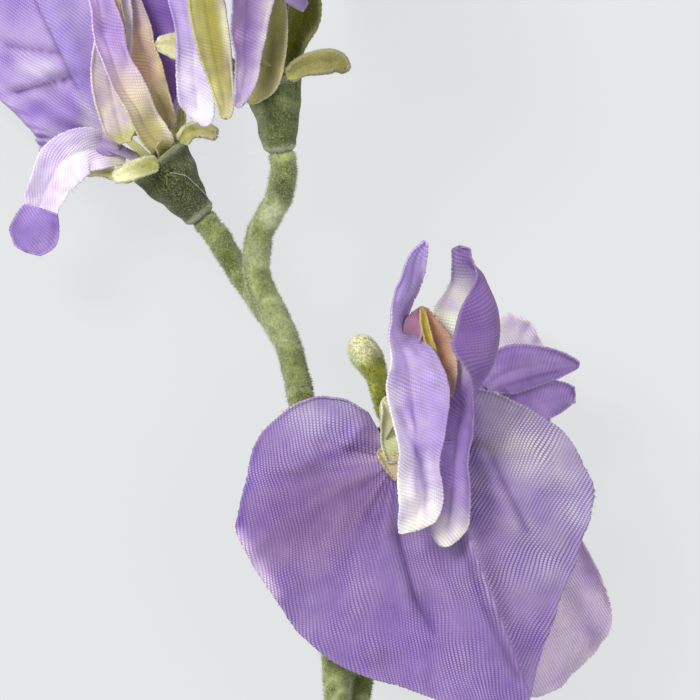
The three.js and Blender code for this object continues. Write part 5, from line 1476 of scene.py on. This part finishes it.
MAIN = [
    [-2, CUT_END, RESTING], [-1.4, -214, RESTING], [-0.2, -192, RESTING], [1.2, -170, RESTING + 0.3],
    [2.2, -148, 3.2], [2.4, -126, 5], [1.6, -104, 7], [0.2, -82, 9.1], [-1, -60, 11.2], [-1.8, -39, 13.2],
    [-4, -18, 15.2], [-7.3, -0.6, 17], [-11.2, 8.4, 18.2], [-11.2, 14, 19.4], [-8.8, 18.8, 21],
]
MAIN = [[*place, STEM_RADIUS] for place in MAIN] + into_cup(BLOOMS["b"], STEM_RADIUS)
THIN = STALK_RADIUS - 0.3
STALKS = [
    [[-8, 0.8, 16.6, THIN], [-10.4, 4.9, 16.4, STALK_RADIUS], [-13, 8.6, 15.2, STALK_RADIUS]]
    + into_cup(BLOOMS["a"], STALK_RADIUS),
    [[-0.4, -66, 10.4, THIN], [0.1, -54, 10.4, STALK_RADIUS], [1.2, -42, 9.3, STALK_RADIUS]]
    + [[3.2, -29, 7, STALK_RADIUS], [4.6, -20, 6, STALK_RADIUS]] + into_cup(BLOOMS["c"], STALK_RADIUS),
    [[4.7, -17, 8.4, BUD_STALK], [4.6, -11.6, 8, BUD_STALK], [4.5, -8, 9.6, BUD_STALK]]
    + bud_line((-GAP - 1.2, -GAP), BUD_STALK),
    [[2.1, -38, 8.6, THIN], [4.9, -31, 7, STALK_RADIUS], [7.6, -24, 6.6, STALK_RADIUS]]
    + into_cup(BLOOMS["d"], STALK_RADIUS),
]


def solid_object(shape):
    """A passing object, in millimetres, whose tubes are then joined into one skin."""
    points, _, _ = shape.joined()
    mesh = bpy.data.meshes.new("passing")
    mesh.from_pydata(points.tolist(), [], [f[:3] if f[2] == f[3] else f for f in shape.faces])
    made = bpy.data.objects.new("passing", mesh)
    bpy.context.collection.objects.link(made)
    return made


def applied(thing):
    """The points and faces that an object has after its modifiers. The object is deleted."""
    mesh = bpy.data.meshes.new_from_object(thing.evaluated_get(bpy.context.evaluated_depsgraph_get()))
    points = np.empty(len(mesh.vertices) * 3)
    mesh.vertices.foreach_get("co", points)
    faces = [[*f.vertices] + [f.vertices[2]] * (4 - len(f.vertices)) for f in mesh.polygons]
    bpy.data.objects.remove(thing)
    bpy.data.meshes.remove(mesh)
    return points.reshape(-1, 3), faces


def stem_shape():
    """The stem and its stalks as one skin, grown together at the forks."""
    whole = Shape()
    for number, stations in enumerate([MAIN, *STALKS]):
        line = smooth(stations, np.linspace(0, 1, STALK_STEPS if number else STEM_STEPS))
        up = STEEP_UP if number == STEEP_STALK else UP
        tube(whole, line[:, :3], line[:, 3], STEM_SIDES, MOSS, up=up)
    up_peg = [[0, h, 0] for h in np.linspace(-1, PEG_LENGTH, 6)]
    pegs = [(in_cup(cup_frame(bloom), up_peg), PEG_RADIUS) for bloom in BLOOMS.values()]
    pegs.append((np.array(bud_line((-1, 0.5, BUD_PEG_LENGTH), 0))[:, :3], BUD_PEG))
    for line, radius in pegs:
        tube(whole, line, np.full(len(line), radius), PEG_SIDES, MOSS, up=TILTED)
    skin = solid_object(whole)
    fused = skin.modifiers.new("fused", "REMESH")
    fused.mode, fused.voxel_size = "VOXEL", STEM_VOXEL
    soft = skin.modifiers.new("soft", "SMOOTH")
    soft.factor, soft.iterations = 0.5, 6
    points, faces = applied(skin)
    bumps = ripple(points[:, 0] * 2 + points[:, 2], points[:, 1], 2.4, 31) * 0.07
    bumps += ripple(points[:, 0] + points[:, 2] * 2, points[:, 1] * 0.5, 0.8, 32) * 0.03
    shape = Shape()
    colour = shades(33, points, *STEM_SHADES)
    colour = colour * (1 + 0.22 * ripple(points[:, 0] + points[:, 2], points[:, 1], 0.7, 35))[:, None]
    # Painted light and shade: dark dabs where the stem and stalks are shaded, pale dabs where the stem is
    # lit
    for x, y, reach, dye, strength in STEM_LIGHT_AND_SHADE:
        share = strength * np.exp(-((points[:, :1] - x) ** 2 + (points[:, 1:2] - y) ** 2) / reach**2)
        colour = blend(colour, dye, share)
    shape.add(points, colour, (0, 0), faces)
    corners = points[np.array(faces)[:, :3]]
    normal = np.cross(corners[:, 1] - corners[:, 0], corners[:, 2] - corners[:, 0])
    gathered = np.zeros_like(points)
    for k in range(3):
        np.add.at(gathered, np.array(faces)[:, k], normal)
    shape.points[0] = points + unit(gathered) * bumps[:, None]
    sprout(shape, 34, 20, 0.38, width=0.08, lean=0.55, tip=STEM_TIP, far_density=1.5, dark=2.4)
    return shape


def wire_shape():
    shape = Shape()
    share = np.linspace(0, WIRE_END, 240)
    line = smooth([s[:3] for s in MAIN], share)
    back = unit(line[0] - line[1])
    line = np.vstack((line[0] + back * WIRE_SHOWS, line[0] + back * (WIRE_SHOWS - 0.12), line))
    radii = np.full(len(line), WIRE_RADIUS)
    radii[0] = WIRE_RADIUS - 0.14
    tube(shape, line, radii, WIRE_SIDES, (0.5, 0.5, 0.5))
    return shape


def bud_shape():
    """The closed bud: three wrapped folds that twist to a blunt tip."""
    shape = Shape()
    t = np.linspace(0, 1, 60)
    line = smooth(BUD, t)
    angle = round_about(BUD_SIDES)
    folds = 0.14 * np.abs(np.sin(1.5 * angle[None, :] + t[:, None] * 2.2))
    folds = folds * smoothstep(t, 0.05, 0.5)[:, None]
    radii = line[:, 3:] * (0.84 + folds) + 0.06 * ripple(t[:, None] * 9, angle[None, :] * 2, 1.6, 51)
    tube(shape, line[:, :3], radii, BUD_SIDES, MOSS, up=TILTED)
    points = shape.points[0]
    colour = shades(52, points, *BUD_SHADES)
    tip = smoothstep(points[:, 1] - points[:, 0] * 0.5, -4, -0.6)[:, None] * 0.95
    # Painted light: the bud's left side is blended toward a paler green, where the light falls on it
    bud_lit_share = smoothstep(-points[:, 0], -2.4, -0.6)[:, None] * 0.35
    shape.dyes[0] = blend(blend(colour, BUD_LIT_SIDE, bud_lit_share), BUD_TIP, tip)
    sprout(shape, 53, 45, 0.34, width=0.09, lean=0.8, tip=BUD_FUZZ, dark=3)
    return shape


# Filaments of glue and lint that hang about cup A, as lines of points
FILAMENT_RADIUS = 0.018
FILAMENTS = [
    [
        [-18.8, 23.8, 19], [-16.5, 23.6, 21], [-13.8, 24.2, 22], [-12, 24.3, 22.5], [-10.9, 23.3, 22.8],
        [-10.9, 21.9, 23], [-12, 19.9, 22.8], [-13, 19.8, 22.4],
    ],
    [
        [-22.2, 21.9, 20.6], [-20.3, 21.5, 20.4], [-18.8, 20.2, 19.4], [-17.3, 18.8, 18.4],
        [-16.6, 19.4, 18.6], [-16.4, 20.1, 19], [-16.8, 20.4, 19.2],
    ],
]


def filaments(shape):
    for line in FILAMENTS:
        points = smooth(line, np.linspace(0, 1, 50))
        tube(shape, points, np.full(50, FILAMENT_RADIUS), 5, LINT)


# The pieces

standard_cloth = cloth_material("lilac_cloth", weave=1.2)
far_cloth = cloth_material("soft_lilac_cloth", weave=0.65, finer=0.8)
wing_cloth = cloth_material("pale_lilac_cloth", through=0.34, weave=0.5, finer=0.9)
keel_cloth = cloth_material("cream_cloth", through=0.36, weave=0.35, finer=0.85)
flock = flock_material("green_flock", speckle=0.5, sheen=0.45, frosted=0.4)
bud_nap = flock_material("bud_flock", speckle=0.7, sheen=0.2, frosted=0.5, pale=(0.56, 0.6, 0.12, 1.0))
cup_flock = flock_material("dark_green_flock", speckle=0.5, sheen=0.3, frosted=0.32)
felt = flock_material("sepal_felt", speckle=0.16, sheen=0.25, frosted=0.12)


def extra_petals(shape, bloom, look, seed):
    """Slips of cloth glued in beside a petal: each has its stations, its dye and its dabs."""
    for number, (stations, dye, *dabs) in enumerate(look.get("extras", [])):
        slip = {"base": dye, "dabs": sum(dabs, [(0, 0, 0.4, 3, dye * 1.15, 0.6)]), "foot": 0.03, "vein": 0}
        strip_sheet(shape, stations, bloom["seat"], seed + 30 + number, slip, *SLIP_GRID)


def frayed_sides(shape, points, dyes, seed, **settings):
    """Loose thread ends along both sides of a long petal."""
    for column, inner in ((0, 2), (-1, -3)):
        frayed(shape, points[:, column], points[:, inner], dyes[:, column], seed + column, **settings)


def long_petal(name, key, part, material, slot, seed):
    """A wing or a keel, with its claw and its extra slips."""
    bloom = BLOOMS[key]
    petal, look = bloom[part], LOOKS[key][part]
    shape = Shape()
    steps, cells = GRIDS[key]
    points, dyes = strip_sheet(shape, petal["stations"], bloom["seat"], seed, look, steps, cells)
    frayed_sides(shape, points, dyes, seed + 20, every=0.8, longest=0.5)
    row, middle, third = round(petal["hold"] * steps), cells // 2, cells // 3
    spread = points[row, 2 * third] - points[row, third]
    colours = (look.get("root", SEPAL_ROOT), look.get("claw", dyes[row, middle]))
    width = min(WING_CLAW, np.linalg.norm(spread))
    claw(shape, cup_frame(bloom), petal["place"], points[row, middle], unit(spread), width, colours)
    extra_petals(shape, bloom, look, seed)
    piece_of(f"{name}_{key}_cloth", shape, material, slot, f"{name}_{key}")


def standard_petal(key, bloom, material, seed):
    """A standard, with its claw, and with the long flap that is part of it on two blooms."""
    shape = Shape()
    petal, look = bloom["standard"], LOOKS[key]["standard"]
    rows = standard_sheet(shape, bloom, seed, look)
    part = round(petal["hold"][0] / HOLD_COLUMNS * (len(rows) - 1))
    ring = round((petal["hold"][1] / HOLD_RINGS) * (STANDARD_GRID[1] - 1))
    end, spread = rows[part, ring], rows[part + 6, ring] - rows[part - 6, ring]
    if "strip" in petal:
        steps, cells = GRIDS[key]
        flap_look = LOOKS[key]["strip"]
        flap, dyes = strip_sheet(shape, petal["strip"], bloom["seat"], seed + 20, flap_look, steps, cells)
        extra_petals(shape, bloom, flap_look, seed + 20)
        frayed_sides(shape, flap, dyes, seed + 24)
        if petal.get("holdStrip"):
            row = round(steps / 12)
            end, spread = flap[row, cells // 2], flap[row, -6] - flap[row, 6]
    colours = (SEPAL_ROOT, look.get("root", look["base"]))
    claw(shape, cup_frame(bloom), petal["place"], end, unit(spread), STANDARD_CLAW, colours)
    piece_of(f"standard_{key}_cloth", shape, material, "petal_lilac", f"standard_{key}")


for number, (key, bloom) in enumerate(BLOOMS.items()):
    seed = 100 * (number + 1)
    cup = cup_shape(bloom, seed, *CUP_TONES[key])
    density = NEAR_FLOCK if key in NEAR_CUPS else FAR_FLOCK
    sprout(cup, seed + 1, density, 0.42, width=0.09, tip=CUP_TIP, dark=2.6)
    if key == "a":
        filaments(cup)
    piece_of(f"calyx_{key}_flock", cup, cup_flock, "calyx_flock", f"calyx_{key}")
    sepals = sepals_shape(key, bloom, seed + 10)
    piece_of(f"sepals_{key}_felt", sepals, felt, "sepal_felt", f"sepals_{key}")
    standard_petal(key, bloom, standard_cloth if key == "c" else far_cloth, seed + 20)
    long_petal("wing_left", key, "wingLeft", wing_cloth, "petal_pale_lilac", seed + 50)
    long_petal("wing_right", key, "wingRight", wing_cloth, "petal_pale_lilac", seed + 60)
    long_petal("keel", key, "keel", keel_cloth, "petal_cream", seed + 70)

piece_of("stem_flock", stem_shape(), flock, "stem_flock", "stem")
piece_of("bud_flock", bud_shape(), bud_nap, "stem_flock", "bud")
piece_of("wire_core", wire_shape(), wire_material(), "wire", "stem_wire")

# Floor, light and camera

FLOOR_SIZE = 30.0
floor_mesh = bpy.data.meshes.new("floor")
edge = FLOOR_SIZE / 2
corners = [(-edge, -edge, 0), (edge, -edge, 0), (edge, edge, 0), (-edge, edge, 0)]
floor_mesh.from_pydata(corners, [], [(0, 1, 2, 3)])
floor_mesh.materials.append(floor_material())
floor = bpy.data.objects.new("floor", floor_mesh)
bpy.context.collection.objects.link(floor)

world = bpy.data.worlds.new("studio")
world.use_nodes = True
backdrop = world.node_tree.nodes["Background"]
backdrop.inputs["Color"].default_value = (1.0, 1.0, 1.0, 1.0)
backdrop.inputs["Strength"].default_value = 0.76
bpy.context.scene.world = world
bpy.context.scene.view_settings.view_transform = "Standard"

PICTURE_CENTRE = PICTURE_MIDDLE * MM + np.array([0, 0, 0.02])


def soft_light(name, place, power, size):
    """A square area light aimed at the middle of the picture."""
    lamp = bpy.data.lights.new(name, "AREA")
    lamp.energy, lamp.size = power, size
    holder = bpy.data.objects.new(name, lamp)
    holder.location = PICTURE_CENTRE + np.array(place)
    aim = bpy.data.objects.new(name + "_aim", None)
    aim.location = PICTURE_CENTRE
    track = holder.constraints.new("TRACK_TO")
    track.target, track.track_axis, track.up_axis = aim, "TRACK_NEGATIVE_Z", "UP_Y"
    bpy.context.collection.objects.link(aim)
    bpy.context.collection.objects.link(holder)


soft_light("key_light", (-0.65, 0.6, 0.95), 15.0, 0.45)
soft_light("fill_light", (0.9, 0.1, 0.9), 4.0, 0.8)

CAMERA_HEIGHT = 2.4
SENSOR = 36.0
lens = bpy.data.cameras.new("camera")
lens.sensor_width = SENSOR
lens.lens = SENSOR * CAMERA_HEIGHT / (2 * PICTURE_HALF * MM)
lens.clip_start, lens.clip_end = 0.1, 50.0
camera = bpy.data.objects.new("camera", lens)
camera.location = PICTURE_CENTRE + np.array([0, 0, CAMERA_HEIGHT])
bpy.context.collection.objects.link(camera)
bpy.context.scene.camera = camera
